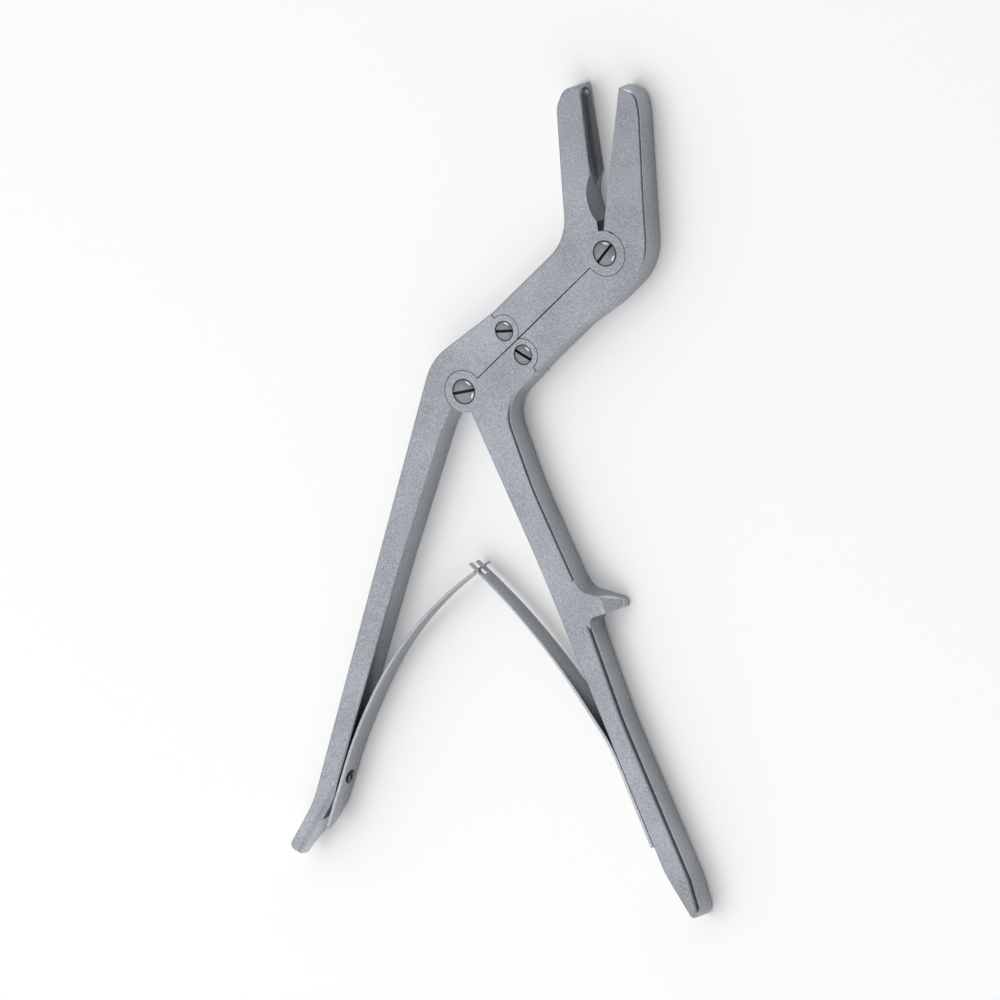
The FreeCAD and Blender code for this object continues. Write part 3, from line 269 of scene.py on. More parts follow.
def scale_colour(tree: Tree, colour: Socket, factor: Socket) -> Socket:
    """Multiply a colour by a factor.

    Args:
        tree: where the node goes.
        colour: the colour's socket.
        factor: the factor's socket.

    Returns:
        The result's socket.
    """
    node = tree.nodes.new("ShaderNodeVectorMath")
    node.operation = "SCALE"
    tree.links.new(colour, node.inputs[0])
    tree.links.new(factor, node.inputs["Scale"])
    return node.outputs["Vector"]


def dot_product(tree: Tree, first: Socket, second: Socket | Triple) -> Socket:
    """Work out two vectors' dot product.

    Args:
        tree: where the node goes.
        first: the first vector's socket.
        second: the second vector.

    Returns:
        The product's socket.
    """
    node = tree.nodes.new("ShaderNodeVectorMath")
    node.operation = "DOT_PRODUCT"
    tree.links.new(first, node.inputs[0])
    feed(tree, node.inputs[1], second)
    return node.outputs["Value"]


def place_group(tree: Tree, group: Tree, terms: dict[str, Socket | float | Triple]) -> Node:
    """Place a node group in a material.

    Args:
        tree: the material's nodes.
        group: the group.
        terms: what each of its named inputs gets.

    Returns:
        The group's node.
    """
    node = tree.nodes.new("ShaderNodeGroup")
    node.node_tree = group
    for name, term in terms.items():
        feed(tree, node.inputs[name], term)
    return node


class OpenGroup:
    """A shader node group with named sockets, ready to be filled."""

    def __init__(self, name: str, vectors: tuple[str, ...], numbers: dict[str, float],
                 outputs: tuple[str, ...]) -> None:
        """Make the group and its sockets.

        Args:
            name: the group's name.
            vectors: the names of its vector inputs.
            numbers: the names and starting values of its number inputs.
            outputs: the names of its outputs, all numbers.
        """
        self.tree = bpy.data.node_groups.new(name, "ShaderNodeTree")
        sockets = self.tree.interface
        for title in vectors:
            sockets.new_socket(name=title, in_out="INPUT", socket_type="NodeSocketVector")
        for title, default in numbers.items():
            made = sockets.new_socket(name=title, in_out="INPUT", socket_type="NodeSocketFloat")
            made.default_value = default
        for title in outputs:
            sockets.new_socket(name=title, in_out="OUTPUT", socket_type="NodeSocketFloat")
        self.inside = self.tree.nodes.new("NodeGroupInput")
        self.outside = self.tree.nodes.new("NodeGroupOutput")

    def given(self, name: str) -> Socket:
        """Return the socket that brings a named input into the group."""
        return self.inside.outputs[name]

    def give(self, name: str, result: Socket) -> None:
        """Put a result out by its name."""
        self.tree.links.new(result, self.outside.inputs[name])


class SurfaceGroups:
    """The shader node groups that all finishes share, each built once."""

    pit_detail: float = 2.0
    pit_roughness: float = 0.6
    drift_scale: float = 0.045
    drift_detail: float = 3.0
    drift_share: float = 0.25
    flat_span: Pair = (0.55, 0.97)
    steep_span: Pair = (0.05, 0.5)
    slot_span: Pair = (-0.02, 0.08)
    spot_break_up: float = 0.4
    spot_span: Pair = (0.75, 1.25)

    def __init__(self) -> None:
        """Build the groups."""
        self.grain = self.make_grain()
        self.facing = self.make_facing()
        self.recess = self.make_recess()
        self.painted_light_group = self.make_painted_light()

    def make_grain(self) -> Tree:
        """Build the satin grain: fine blasted pits over slow cloudy drift.

        Returns:
            A group that takes a position in millimetres and the grain's size,
            and puts out Tone and Height, both about 0.5 on average.
        """
        group = OpenGroup("SatinGrain", ("Position",), {"Grain Size": 0.5}, ("Tone", "Height"))
        tree = group.tree
        pits = tree.nodes.new("ShaderNodeTexNoise")
        pits.inputs["Detail"].default_value = self.pit_detail
        pits.inputs["Roughness"].default_value = self.pit_roughness
        tree.links.new(group.given("Position"), pits.inputs["Vector"])
        tree.links.new(calculate(tree, "DIVIDE", 1.0, group.given("Grain Size")),
                       pits.inputs["Scale"])
        drift = tree.nodes.new("ShaderNodeTexNoise")
        drift.inputs["Scale"].default_value = self.drift_scale
        drift.inputs["Detail"].default_value = self.drift_detail
        tree.links.new(group.given("Position"), drift.inputs["Vector"])
        both = tree.nodes.new("ShaderNodeMix")
        both.data_type = "FLOAT"
        both.inputs["Factor"].default_value = self.drift_share
        tree.links.new(pits.outputs["Fac"], both.inputs["A"])
        tree.links.new(drift.outputs["Fac"], both.inputs["B"])
        group.give("Tone", both.outputs["Result"])
        group.give("Height", pits.outputs["Fac"])
        return tree

    def make_facing(self) -> Tree:
        """Build the masks of the flat faces and of the rounded edges.

        Returns:
            A group that takes the surface's own normal and puts out Flat, 1 on
            a face that looks straight up or down and 0 on a side, and Edge, 1
            where the surface turns from one to the other.
        """
        group = OpenGroup("PlateFacing", ("Normal",), {}, ("Flat", "Edge"))
        tree = group.tree
        split = tree.nodes.new("ShaderNodeSeparateXYZ")
        tree.links.new(group.given("Normal"), split.inputs[0])
        upright = calculate(tree, "ABSOLUTE", split.outputs["Z"])
        flat = ramp(tree, upright, self.flat_span, (0.0, 1.0), smooth=True)
        steep = ramp(tree, upright, self.steep_span, (0.0, 1.0), smooth=True)
        edge = calculate(tree, "SUBTRACT", steep, flat)
        edge.node.use_clamp = True
        group.give("Flat", flat)
        group.give("Edge", edge)
        return tree

    def make_recess(self) -> Tree:
        """Build the mask of a screw's slot.

        Returns:
            A group that takes a position in millimetres, the screw's axis and
            a level along it, and puts out Deep, 1 below that level.
        """
        group = OpenGroup("SlotRecess", ("Position", "Axis"), {"Level": 0.0}, ("Deep",))
        tree = group.tree
        height = dot_product(tree, group.given("Position"), group.given("Axis"))
        below = calculate(tree, "SUBTRACT", group.given("Level"), height)
        group.give("Deep", ramp(tree, below, self.slot_span, (0.0, 1.0), smooth=False))
        return tree

    def make_painted_light(self) -> Tree:
        """Build the soft mask of a spot of painted highlight or painted shade.

        Returns:
            A group that takes a place in the spot's own frame, where its edge
            lies at 1, and the grain's tone, and puts out Painted Light, 1 in its middle.
        """
        group = OpenGroup("PaintedLightSpot", ("Place",), {"Tone": 0.5}, ("Painted Light",))
        tree = group.tree
        far = tree.nodes.new("ShaderNodeVectorMath")
        far.operation = "LENGTH"
        tree.links.new(group.given("Place"), far.inputs[0])
        uneven = calculate(tree, "MULTIPLY_ADD", group.given("Tone"), self.spot_break_up,
                           far.outputs["Value"])
        group.give("Painted Light", ramp(tree, uneven, self.spot_span, (1.0, 0.0), smooth=True))
        return tree


class SteelShop:
    """Makes one material for each finish and dresses objects with it."""

    edge_polish: float = 0.18
    shine_drift: float = 0.06
    grain_span: Pair = (0.3, 0.7)
    bump_strength: float = 0.35
    # Painted shade in the screw slots.
    painted_slot_shade: Colour = (0.012, 0.012, 0.013)

    def __init__(self) -> None:
        """Prepare the shared groups."""
        self.groups = SurfaceGroups()
        self.made: dict[Steel, bpy.types.Material] = {}

    def material(self, steel: Steel) -> bpy.types.Material:
        """Look a finish's material up, and build it at its first use.

        Args:
            steel: which finish it is.

        Returns:
            The material.
        """
        if steel not in self.made:
            self.made[steel] = self.build(steel, FINISHES[steel])
        return self.made[steel]

    def build(self, steel: Steel, finish: SteelFinish) -> bpy.types.Material:
        """Build a satin steel from the shared groups.

        Args:
            steel: which finish it is, for its name.
            finish: its colours, roughness and grain.

        Returns:
            The material.
        """
        material = bpy.data.materials.new(steel.value)
        material.use_nodes = True
        tree = material.node_tree
        nodes, links = tree.nodes, tree.links
        nodes.clear()
        place = nodes.new("ShaderNodeTexCoord")
        to_mm = nodes.new("ShaderNodeMapping")
        to_mm.inputs["Scale"].default_value = (1 / MM, 1 / MM, 1 / MM)
        links.new(place.outputs["Object"], to_mm.inputs["Vector"])
        position = to_mm.outputs["Vector"]
        grain = place_group(tree, self.groups.grain,
                            {"Position": position, "Grain Size": finish.grain_mm})
        facing = place_group(tree, self.groups.facing, {"Normal": place.outputs["Normal"]})
        tone, edge = grain.outputs["Tone"], facing.outputs["Edge"]

        # Painted light and shade: the sides take another tone than the flat faces, by their facing.
        colour = mix_colours(tree, facing.outputs["Flat"], (*finish.painted_side_tone, 1),
                             (*finish.ground, 1))
        # Painted highlight along the rounded edges, broken up by the grain.
        colour = mix_colours(tree, calculate(tree, "MULTIPLY", edge, tone), colour,
                             (*finish.painted_edge_highlight, 1))
        dull = ramp(tree, tone, (0.0, 1.0), (finish.roughness + self.shine_drift,
                                             finish.roughness - self.shine_drift), smooth=False)
        rough = calculate(tree, "MULTIPLY_ADD", edge, -self.edge_polish, dull)
        # Painted highlights and painted shade in spots, each with some added roughness.
        for spot in finish.painted_light:
            colour, rough = self.paint_light_spot(tree, spot, colour, rough, position, tone)
        if finish.slot:
            colour = self.shade_slot(tree, finish.slot, colour, position)
        strength = ramp(tree, tone, self.grain_span,
                        (1 - finish.grain_tone, 1 + finish.grain_tone), smooth=False)

        bump = nodes.new("ShaderNodeBump")
        bump.inputs["Strength"].default_value = self.bump_strength
        bump.inputs["Distance"].default_value = finish.grain_depth_mm * MM
        links.new(grain.outputs["Height"], bump.inputs["Height"])
        shader = nodes.new("ShaderNodeBsdfPrincipled")
        shader.inputs["Metallic"].default_value = 1.0
        links.new(scale_colour(tree, colour, strength), shader.inputs["Base Color"])
        links.new(rough, shader.inputs["Roughness"])
        links.new(bump.outputs["Normal"], shader.inputs["Normal"])
        output = nodes.new("ShaderNodeOutputMaterial")
        links.new(shader.outputs["BSDF"], output.inputs["Surface"])
        return material

    def shade_slot(self, tree: Tree, slot: Slot, colour: Socket, position: Socket) -> Socket:
        """Paint shade into a screw's slot: the colour goes near black below the slot's level.

        Args:
            tree: the material's nodes.
            slot: where the slot lies.
            colour: the steel's colour.
            position: the position in millimetres.

        Returns:
            The colour's new socket.
        """
        recess = place_group(tree, self.groups.recess,
                             {"Position": position, "Axis": slot.axis, "Level": slot.level})
        return mix_colours(tree, recess.outputs["Deep"], colour, (*self.painted_slot_shade, 1))

    def paint_light_spot(self, tree: Tree, spot: PaintedLightSpot, colour: Socket, rough: Socket,
                  position: Socket, tone: Socket) -> tuple[Socket, Socket]:
        """Paint a highlight or a shade into a colour in one spot, and change its shine there.

        Args:
            tree: the material's nodes.
            spot: where the spot lies and what it does.
            colour: the steel's colour.
            rough: its roughness.
            position: the position in millimetres.
            tone: the grain's tone, which breaks the spot's edge up.

        Returns:
            The new sockets of the colour and the roughness.
        """
        place = tree.nodes.new("ShaderNodeMapping")
        place.vector_type = "TEXTURE"
        place.inputs["Location"].default_value = spot.centre
        place.inputs["Rotation"].default_value = (0.0, 0.0, math.radians(spot.turn))
        place.inputs["Scale"].default_value = spot.reach
        tree.links.new(position, place.inputs["Vector"])
        painted_light_group = place_group(tree, self.groups.painted_light_group, {"Place": place.outputs["Vector"], "Tone": tone})
        painted_light = painted_light_group.outputs["Painted Light"]
        # The gain paints the spot's highlight or shade into the colour.
        gain = ramp(tree, painted_light, (0.0, 1.0), (1.0, spot.gain), smooth=False)
        return (scale_colour(tree, colour, gain),
                calculate(tree, "MULTIPLY_ADD", painted_light, spot.dulling, rough))

    def dress(self, item: bpy.types.Object, steel: Steel) -> None:
        """Give an object one finish in its only material slot, and report it.

        Args:
            item: the object.
            steel: which finish it gets.
        """
        item.data.materials.clear()
        item.data.materials.append(self.material(steel))
        LOG.info("%s: %s", item.name, steel.value)


def unit(angle_deg: float) -> np.ndarray:
    """Return the unit vector in the plates' plane at an angle from +X."""
    turn = math.radians(angle_deg)
    return np.array([math.cos(turn), math.sin(turn)])


@dataclass
class Grip:
    """The straight frame of a grip: along it from the handle pivot, and out."""

    angle: float
    side: int

    def point(self, along: float, out: float) -> np.ndarray:
        """Return the point that far along the grip and out to its outer side."""
        across = unit(self.angle + 90) * self.side
        return unit(self.angle) * along + across * out


def straight_run(start: np.ndarray, stop: np.ndarray, step: float) -> np.ndarray:
    """Return evenly spaced points from start to stop, at most a step apart."""
    count = max(2, int(math.ceil(float(np.linalg.norm(stop - start)) / step)) + 1)
    return start + (stop - start) * np.linspace(0, 1, count)[:, None]


def rounded_path(corners: list[np.ndarray], reaches: list[float], step: float) -> np.ndarray:
    """Return points along straight runs joined by arcs tangent to both.

    Each inner corner is replaced by an arc that starts and ends at the given
    reach from it. The radius is reach / tan(turn / 2), and the arc is sampled
    at equal angles.

    Args:
        corners: the first point, the corners and the last point.
        reaches: one reach for each corner between the ends.
        step: the longest distance between two points.

    Returns:
        An array of points, one row each.
    """
    runs: list[np.ndarray] = []
    start = corners[0]
    for index, trim in enumerate(reaches, start=1):
        spot = corners[index]
        come = spot - corners[index - 1]
        leave = corners[index + 1] - spot
        come, leave = come / np.linalg.norm(come), leave / np.linalg.norm(leave)
        cross = come[0] * leave[1] - come[1] * leave[0]
        turn = math.atan2(cross, float(come @ leave))
        radius = trim / math.tan(abs(turn) / 2)
        first = spot - come * trim
        runs.append(straight_run(start, first, step)[:-1])
        normal = np.array([-come[1], come[0]]) * math.copysign(1, turn)
        centre = first + normal * radius
        count = max(3, int(math.ceil(radius * abs(turn) / step)) + 1)
        swing = np.linspace(0, abs(turn), count)[:-1, None]
        runs.append(centre - normal * radius * np.cos(swing) + come * radius * np.sin(swing))
        start = spot + leave * trim
    runs.append(straight_run(start, corners[-1], step))
    return np.vstack(runs)


def rounded_box_section(low: np.ndarray, high: np.ndarray, half_thick: np.ndarray,
                        edge: float, most: float = 0.9, steps: int = 4) -> np.ndarray:
    """Return a rounded rectangle for each station of a strip.

    Each corner is a quarter circle: its centre lies the radius inside both
    sides, and the angle runs over the four quadrants in turn. The radius is
    the edge's, or a share of half the width where the strip is narrow.

    Args:
        low: where the strip's back edge lies at each station.
        high: where its front edge lies.
        half_thick: half of its thickness there.
        edge: the corners' radius.
        most: the largest radius, as a share of half the width.
        steps: arc steps for one corner.

    Returns:
        An array of stations x points x (thickness, width) offsets.
    """
    half = (high - low)[:, None] / 2
    middle = (high + low)[:, None] / 2
    radius = np.minimum(edge, half * most)
    quarter = np.linspace(0, np.pi / 2, steps + 1)
    angles = (quarter[None, :] + np.arange(4)[:, None] * np.pi / 2).ravel()
    turn = np.repeat(np.arange(4) * np.pi / 2 + np.pi / 4, steps + 1)
    thick = np.sign(np.cos(turn)) * (half_thick[:, None] - radius) + radius * np.cos(angles)
    wide = middle + np.sign(np.sin(turn)) * (half - radius) + radius * np.sin(angles)
    return np.stack([thick, wide], axis=2)


def tube_mesh(rings: np.ndarray) -> Strip:
    """Close rings of points to a solid tube with a cap at each end.

    Args:
        rings: stations x points x 3 coordinates.

    Returns:
        The vertices and the faces.
    """
    stations, count, _ = rings.shape
    number = np.arange(stations * count).reshape(stations, count)
    after = np.roll(number, -1, axis=1)
    quads = np.stack([number[:-1], after[:-1], after[1:], number[1:]], axis=-1).reshape(-1, 4)
    faces = quads.tolist()
    faces.append(number[0][::-1].tolist())
    faces.append(number[-1].tolist())
    return rings.reshape(-1, 3), faces


def tidy_shading(item: bpy.types.Object, sharp_deg: float = 40.0) -> None:
    """Point the faces outwards and keep the edges over an angle sharp.

    Args:
        item: the object, whose mesh is changed.
        sharp_deg: the angle.
    """
    work = bmesh.new()
    work.from_mesh(item.data)
    bmesh.ops.recalc_face_normals(work, faces=work.faces)
    for edge in work.edges:
        if len(edge.link_faces) == 2 and edge.calc_face_angle(0.0) > math.radians(sharp_deg):
            edge.smooth = False
    work.to_mesh(item.data)
    work.free()


@dataclass(frozen=True)
class PointedEnd:
    """The pointed lower end of a leaf, whose back edge runs up to its front one.

    Distances run along the leaf from its end. The corner is where the back
    edge's line would meet the slope, and the reach is the arc's on each side.
    """

    length: float = 13.7
    corner: float = 4.38
    reach: float = 8.58
    front_round: float = 0.9
    slope_step: float = 0.2
    point_width: float = 0.05
    round_stations: tuple[float, float, int] = (0.22, 1.2, 8)
    slope_stations: Pair = (1.6, 0.5)
    clear: float = 0.3

    def lift(self, run: np.ndarray, width: float) -> np.ndarray:
        """Return how far the back edge has risen.

        Args:
            run: distances from the end.
            width: the leaf's full width.

        Returns:
            The rise at each distance.
        """
        slope = rounded_path(
            [np.array([self.length, 0.0]), np.array([self.corner, 0.0]), np.array([0.0, width])],
            [self.reach], self.slope_step)[::-1]
        return np.interp(run, slope[:, 0], slope[:, 1])

    def drop(self, run: np.ndarray) -> np.ndarray:
        """Return how far the front edge falls in its rounded corner, a quarter circle."""
        near = np.clip(self.front_round - run, 0, self.front_round)
        return self.front_round - np.sqrt(self.front_round ** 2 - near ** 2)

    def stations(self) -> np.ndarray:
        """Return close stations along the end, the closest in its rounded corner."""
        start, step = self.slope_stations
        return np.concatenate([np.linspace(*self.round_stations),
                               np.arange(start, self.length, step)])


@dataclass
class LeafSpring:
    """A leaf spring that bends between its handle and its own body.

    Its outer face lies where the solid's does. The gap to the handle is wider
    than the solid's, because a real leaf bows off its seat and shows a dark line.
    """

    name: str
    grip: Grip
    inner: float
    end: float
    exit: float
    exit_share: float
    tip_angle: float
    corner_share: float
    curve_share: float
    tip_width: float
    overhang: float
    tip_shape: LeafTip
    width: float = 8.6
    thickness: float = 1.15
    tip_thickness: float = 0.62
    seat_gap: float = 0.28
    taper: float = 60.0
    taper_past_tip: float = 2.0
    lower_end: PointedEnd = PointedEnd()
    middle_height: float = 4.825
    meeting: Pair = (0.3, -57.0)
    edge: float = 0.22
    step: float = 1.1
    flex_share: float = 0.92
    bend_clear: float = 6.0
    last_run: float = 5.5
    fork_root: float = 2.5
    fork_slot: float = 2.4
    tongue_root: float = 1.3
    tongue_width: float = 1.9
    hook_width: float = 3.7
    hook_length: float = 0.7
    last_run_points: int = 4
    prong_points: int = 7
    tongue_points: int = 5
    hook_points: int = 3
    tip: np.ndarray = field(init=False)
    crossing: np.ndarray = field(init=False)
    leaves_at: np.ndarray = field(init=False)
    path: np.ndarray = field(init=False)

    def __post_init__(self) -> None:
        """Work out the centre line and where it crosses the other leaf."""
        self.tip = unit(self.tip_angle)
        self.crossing = np.array(self.meeting)
        middle = self.inner - self.seat_gap - self.thickness / 2
        self.leaves_at = self.grip.point(self.exit, middle)
        span = float(np.linalg.norm(self.grip.point(self.exit, self.inner) - self.crossing))
        corners = [
            self.grip.point(self.end, middle),
            self.leaves_at,
            self.crossing - self.tip * self.corner_share * span,
            self.crossing + self.tip * self.overhang,
        ]
        self.path = rounded_path(corners, [self.exit_share * span, self.curve_share * span],
                                 self.step)

    def taper_share(self, spots: np.ndarray) -> np.ndarray:
        """Work out how far the taper has come.

        Args:
            spots: points of the centre line.

        Returns:
            The share at each point, 0 before the taper and 1 past its end.
        """
        along = (spots - self.crossing) @ self.tip
        length = self.taper + self.overhang + self.taper_past_tip
        return np.clip((along + self.taper) / length, 0, 1)

    def edges(self, spots: np.ndarray) -> tuple[np.ndarray, np.ndarray]:
        """Work out the leaf's edges, from its middle height.

        The width falls in a straight line over the taper. At the lower end the
        back edge leaves its line in an arc and runs to a point at the front
        edge, whose corner is a quarter circle.

        Args:
            spots: points of the centre line.

        Returns:
            Where the back edge and the front edge lie at each point.
        """
        half = (self.width + (self.tip_width - self.width) * self.taper_share(spots)) / 2
        run = (self.path[0] - spots) @ unit(self.grip.angle)
        low = self.lower_end.lift(run, self.width) - half
        high = np.maximum(half - self.lower_end.drop(run), low + self.lower_end.point_width)
        return low, high

    def dense(self, spots: np.ndarray) -> np.ndarray:
        """Lay close stations over the lower end, where the edges are curved.

        Args:
            spots: points of the centre line, from its lower end.

        Returns:
            The close stations, and the points that lie past them.
        """
        ahead = -unit(self.grip.angle)
        close = spots[0] + ahead * self.lower_end.stations()[:, None]
        kept = (spots - spots[0]) @ ahead > self.lower_end.length + self.lower_end.clear
        return np.vstack([close, spots[kept]])

    def strip(self, spots: np.ndarray, low: np.ndarray | float,
              high: np.ndarray | float) -> Strip:
        """Carry the rounded section along a part of the centre line.

        Args:
            spots: the part of the centre line.
            low: where the back edge lies, from the leaf's middle.
            high: where the front edge lies.

        Returns:
            The vertices and faces of a closed strip.
        """
        ahead = np.gradient(spots, axis=0)
        ahead /= np.linalg.norm(ahead, axis=1)[:, None]
        side = np.stack([-ahead[:, 1], ahead[:, 0]], axis=1)
        ones = np.ones(len(spots))
        thinner = (self.thickness - self.tip_thickness) * self.taper_share(spots)
        section = rounded_box_section(low * ones, high * ones,
                                      (self.thickness - thinner) / 2, self.edge)
        flat = spots[:, None, :] + side[:, None, :] * section[:, :, :1]
        tall = self.middle_height + section[:, :, 1:]
        return tube_mesh(np.concatenate([flat, tall], axis=2))

    def band(self, spots: np.ndarray, width: float) -> Strip:
        """Return a closed strip of one width along points, about the leaf's middle."""
        return self.strip(spots, -width / 2, width / 2)

    def reach(self, start: float, stop: float, count: int) -> np.ndarray:
        """Return points of the last straight, measured from the crossing."""
        return self.crossing + self.tip * np.linspace(start, stop, count)[:, None]

    def body(self, stop: float) -> Strip:
        """Build the leaf's full-width strip.

        Args:
            stop: where it ends on the last straight, from the crossing.

        Returns:
            The vertices and faces of a closed strip.
        """
        along = (self.path - self.crossing) @ self.tip
        away = np.linalg.norm(self.path - self.crossing, axis=1) > self.bend_clear
        last = self.reach(-self.last_run, stop, self.last_run_points)
        spots = self.dense(np.vstack([self.path[away & (along < 0)], last]))
        return self.strip(spots, *self.edges(spots))

    def fork(self) -> list[Strip]:
        """Build the body and the two prongs.

        Returns:
            Their closed strips, with the slot between the prongs.
        """
        prong = self.reach(-self.fork_root, self.overhang, self.prong_points)
        low, high = self.edges(prong)
        return [self.body(-self.fork_root), self.strip(prong, low, -self.fork_slot / 2),
                self.strip(prong, self.fork_slot / 2, high)]

    def tongue(self) -> list[Strip]:
        """Build the body, the narrow tongue and the wider hook at its end.

        Returns:
            Their closed strips.
        """
        hook_start = self.overhang - self.hook_length
        neck = self.reach(-self.tongue_root, hook_start, self.tongue_points)
        hook = self.reach(hook_start, self.overhang, self.hook_points)
        return [self.body(-self.tongue_root), self.band(neck, self.tongue_width),
                self.band(hook, self.hook_width)]

    def strips(self) -> list[Strip]:
        """Return the closed strips that the leaf is made of."""
        return self.fork() if self.tip_shape is LeafTip.FORK else self.tongue()

    def build(self, shop: SteelShop) -> bpy.types.Object:
        """Build the leaf, dress it and hide the CAD spring in its place.

        Args:
            shop: makes its material.

        Returns:
            The leaf's object.
        """
        points: list[np.ndarray] = []
        faces: list[list[int]] = []
        total = 0
        for spots, sides in self.strips():
            points.append(spots)
            faces += [[corner + total for corner in side] for side in sides]
            total += len(spots)
        mesh = bpy.data.meshes.new(f"{self.name}_leaf_spring")
        mesh.from_pydata((np.vstack(points) * MM).tolist(), [], faces)
        mesh.validate()
        mesh.shade_smooth()
        leaf = bpy.data.objects.new(mesh.name, mesh)
        bpy.context.scene.collection.objects.link(leaf)
        tidy_shading(leaf)
        shop.dress(leaf, Steel.LEAF)
        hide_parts(f"{self.name}_spring")
        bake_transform(leaf)
        LOG.info("%s: %d points", leaf.name, total)
        return leaf


@dataclass
class Springs:
    """The two leaf springs, crossing between the grips."""

    left: LeafSpring = field(default_factory=lambda: LeafSpring(
        name="left", grip=Grip(249.6, -1), inner=4.5, end=152.6, exit=121.6,
        exit_share=0.14, tip_angle=36.0, corner_share=0.448, curve_share=0.3605,
        tip_width=4.0, overhang=3.4, tip_shape=LeafTip.TONGUE))
    right: LeafSpring = field(default_factory=lambda: LeafSpring(
        name="right", grip=Grip(292.56, 1), inner=1.32, end=154.5, exit=120.1,
        exit_share=0.0775, tip_angle=139.8, corner_share=0.3907, curve_share=0.3638,
        tip_width=6.6, overhang=2.9, tip_shape=LeafTip.FORK))

    def build(self, shop: SteelShop) -> None:
        """Build both leaves."""
        self.left.build(shop)
        self.right.build(shop)


@dataclass
class Plates:
    """The handles, the jaws and all screws, as the CAD nodes give them."""

    plates: tuple[str, ...] = ("left_handle", "right_handle", "left_jaw", "right_jaw")
    pivot_screws: tuple[str, ...] = (
        "handle_pivot_screw", "jaw_pivot_screw", "left_link_screw", "right_link_screw",
    )

    def build(self, shop: SteelShop) -> None:
        """Dress every node in its finish.

        Args:
            shop: makes the materials.
        """
        finishes = dict.fromkeys(self.plates, Steel.PLATE)
        finishes |= dict.fromkeys(self.pivot_screws, Steel.SCREW)
        finishes["left_spring_screw"] = Steel.LEFT_LEAF_SCREW
        finishes["right_spring_screw"] = Steel.RIGHT_LEAF_SCREW
        for name, steel in finishes.items():
            shop.dress(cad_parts[name], steel)


@dataclass(frozen=True)
class Softbox:
    """A square soft lamp, with its place and side in metres and its power in watts."""

    name: str
    spot: Triple
    size: float
    power: float

    def hang(self, aim: Triple) -> None:
        """Hang the lamp.

        Args:
            aim: the place that it faces, in metres.
        """
        light = bpy.data.lights.new(self.name, "AREA")
        light.shape = "SQUARE"
        light.size = self.size
        light.energy = self.power
        lamp = bpy.data.objects.new(self.name, light)
        bpy.context.scene.collection.objects.link(lamp)
        lamp.location = Vector(self.spot)
        lamp.rotation_euler = (Vector(aim) - lamp.location).to_track_quat("-Z", "Y").to_euler()


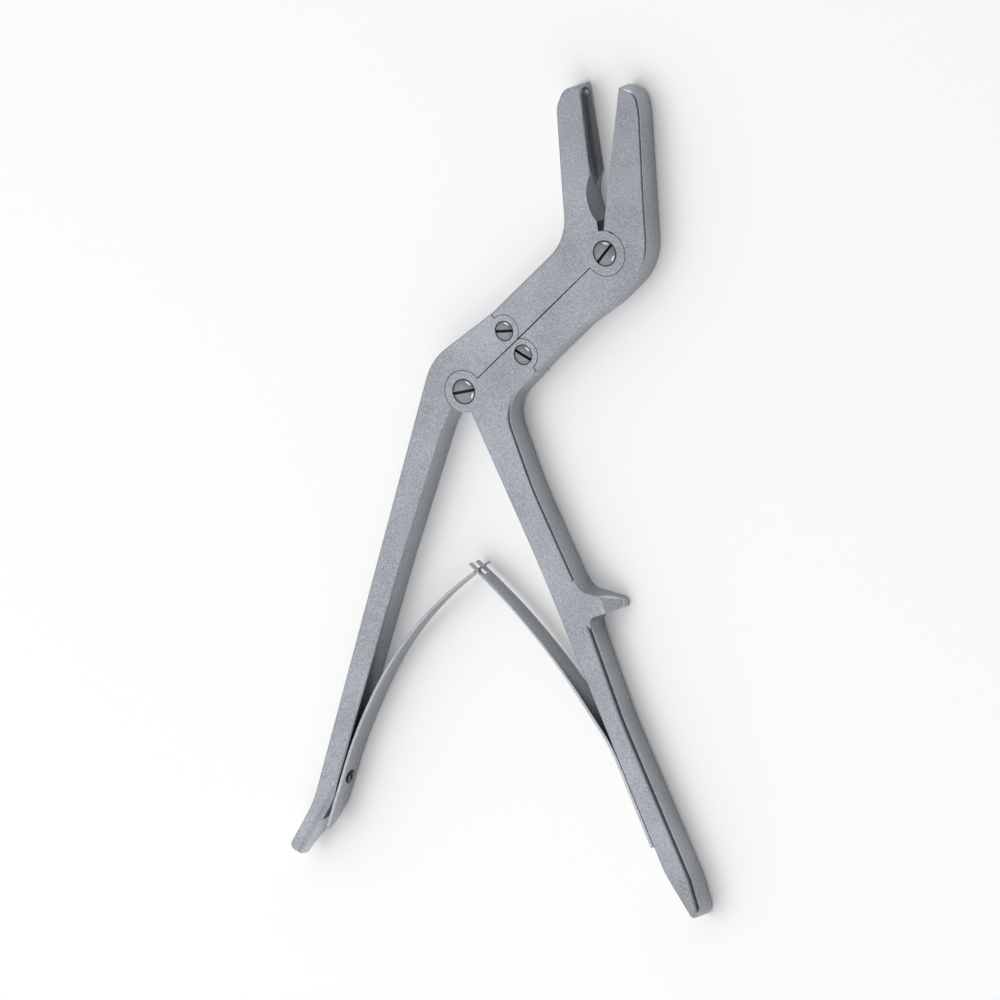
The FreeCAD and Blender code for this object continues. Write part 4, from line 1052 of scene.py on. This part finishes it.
@dataclass
class Studio:
    """The pale floor, the soft light and the camera at the photo's angle."""

    floor_colour: Colour = (0.97, 0.97, 0.97)
    floor_reach: float = 6.0
    floor_level: float = -0.00002
    world_level: float = 1.14
    shady_level: float = 0.12
    shady_side: Triple = (0.83, 0.15, 0.54)
    shady_span: Pair = (0.45, 0.95)
    tool_middle: Triple = (0.01, -0.03, 0.0)
    softboxes: tuple[Softbox, ...] = (
        Softbox("key_softbox", (-0.466, -0.238, 0.771), size=0.5, power=1.0),
        Softbox("fill_softbox", (0.1, -0.9, 1.0), size=1.0, power=1.6),
    )
    pixels_per_mm: float = 3.2
    tilt: float = 31.0
    lean: float = 20.0
    aim: Triple = (0.33, -0.375, 9.65)
    aim_pixel: Pair = (464.8, 392.9)
    picture: float = 1000.0
    distance: float = 700.0
    clip_end: float = 20.0

    def floor(self) -> None:
        """Lay the floor just under the tool."""
        mesh = bpy.data.meshes.new("floor")
        reach, level = self.floor_reach, self.floor_level
        mesh.from_pydata([(-reach, -reach, level), (reach, -reach, level),
                          (reach, reach, level), (-reach, reach, level)], [], [(0, 1, 2, 3)])
        floor = bpy.data.objects.new("floor", mesh)
        bpy.context.scene.collection.objects.link(floor)
        material = bpy.data.materials.new("floor")
        material.use_nodes = True
        shader = material.node_tree.nodes["Principled BSDF"]
        shader.inputs["Base Color"].default_value = (*self.floor_colour, 1)
        shader.inputs["Roughness"].default_value = 1.0
        shader.inputs["Specular IOR Level"].default_value = 0.0
        mesh.materials.append(material)

    def light(self) -> None:
        """Light the tool softly from all sides, and less from the right.

        The world's level falls as a direction gets nearer to the shady side,
        which leaves the tool's right-hand edges darker than its faces.
        """
        world = bpy.data.worlds.new("studio")
        bpy.context.scene.world = world
        world.use_nodes = True
        tree = world.node_tree
        backdrop = tree.nodes["Background"]
        backdrop.inputs["Color"].default_value = (1, 1, 1, 1)
        place = tree.nodes.new("ShaderNodeTexCoord")
        nearness = dot_product(tree, place.outputs["Generated"], self.shady_side)
        level = ramp(tree, nearness, self.shady_span, (self.world_level, self.shady_level),
                     smooth=True)
        tree.links.new(level, backdrop.inputs["Strength"])
        for softbox in self.softboxes:
            softbox.hang(self.tool_middle)

    def camera(self) -> None:
        """Set the camera so that a CAD point falls on its pixel in the photo.

        The view is tilted from +Z towards a direction that leans from +X, and
        its scale is the same all over, as with a very long lens.
        """
        tilt, lean = math.radians(self.tilt), math.radians(self.lean)
        towards = Vector((math.cos(lean), math.sin(lean), 0))
        across = Vector((-math.sin(lean), math.cos(lean), 0))
        up_z = Vector((0, 0, 1))
        back = up_z * math.cos(tilt) + towards * math.sin(tilt)
        down = towards * math.cos(tilt) - up_z * math.sin(tilt)
        right = down * math.cos(lean) - across * math.sin(lean)
        up = down * math.sin(lean) + across * math.cos(lean)
        off_x = (self.picture / 2 - self.aim_pixel[0]) / self.pixels_per_mm
        off_y = (self.aim_pixel[1] - self.picture / 2) / self.pixels_per_mm
        spot = Vector(self.aim) + right * off_x + up * off_y + back * self.distance
        data = bpy.data.cameras.new("camera")
        data.type = "ORTHO"
        data.ortho_scale = self.picture / self.pixels_per_mm * MM
        data.clip_end = self.clip_end
        camera = bpy.data.objects.new("camera", data)
        bpy.context.scene.collection.objects.link(camera)
        turn = Matrix((right, up, back)).transposed().to_4x4()
        camera.matrix_world = Matrix.Translation(spot * MM) @ turn
        bpy.context.scene.camera = camera

    def build(self) -> None:
        """Set up the floor, the light, the camera and the view settings."""
        self.floor()
        self.light()
        self.camera()
        bpy.context.scene.view_settings.view_transform = "Standard"


def main() -> None:
    """Build the tool and the studio, and report each part."""
    logging.basicConfig(level=logging.INFO, format="%(name)s: %(message)s")
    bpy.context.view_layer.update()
    shop = SteelShop()
    Plates().build(shop)
    Springs().build(shop)
    Studio().build()


if __name__ == "__main__":
    main()
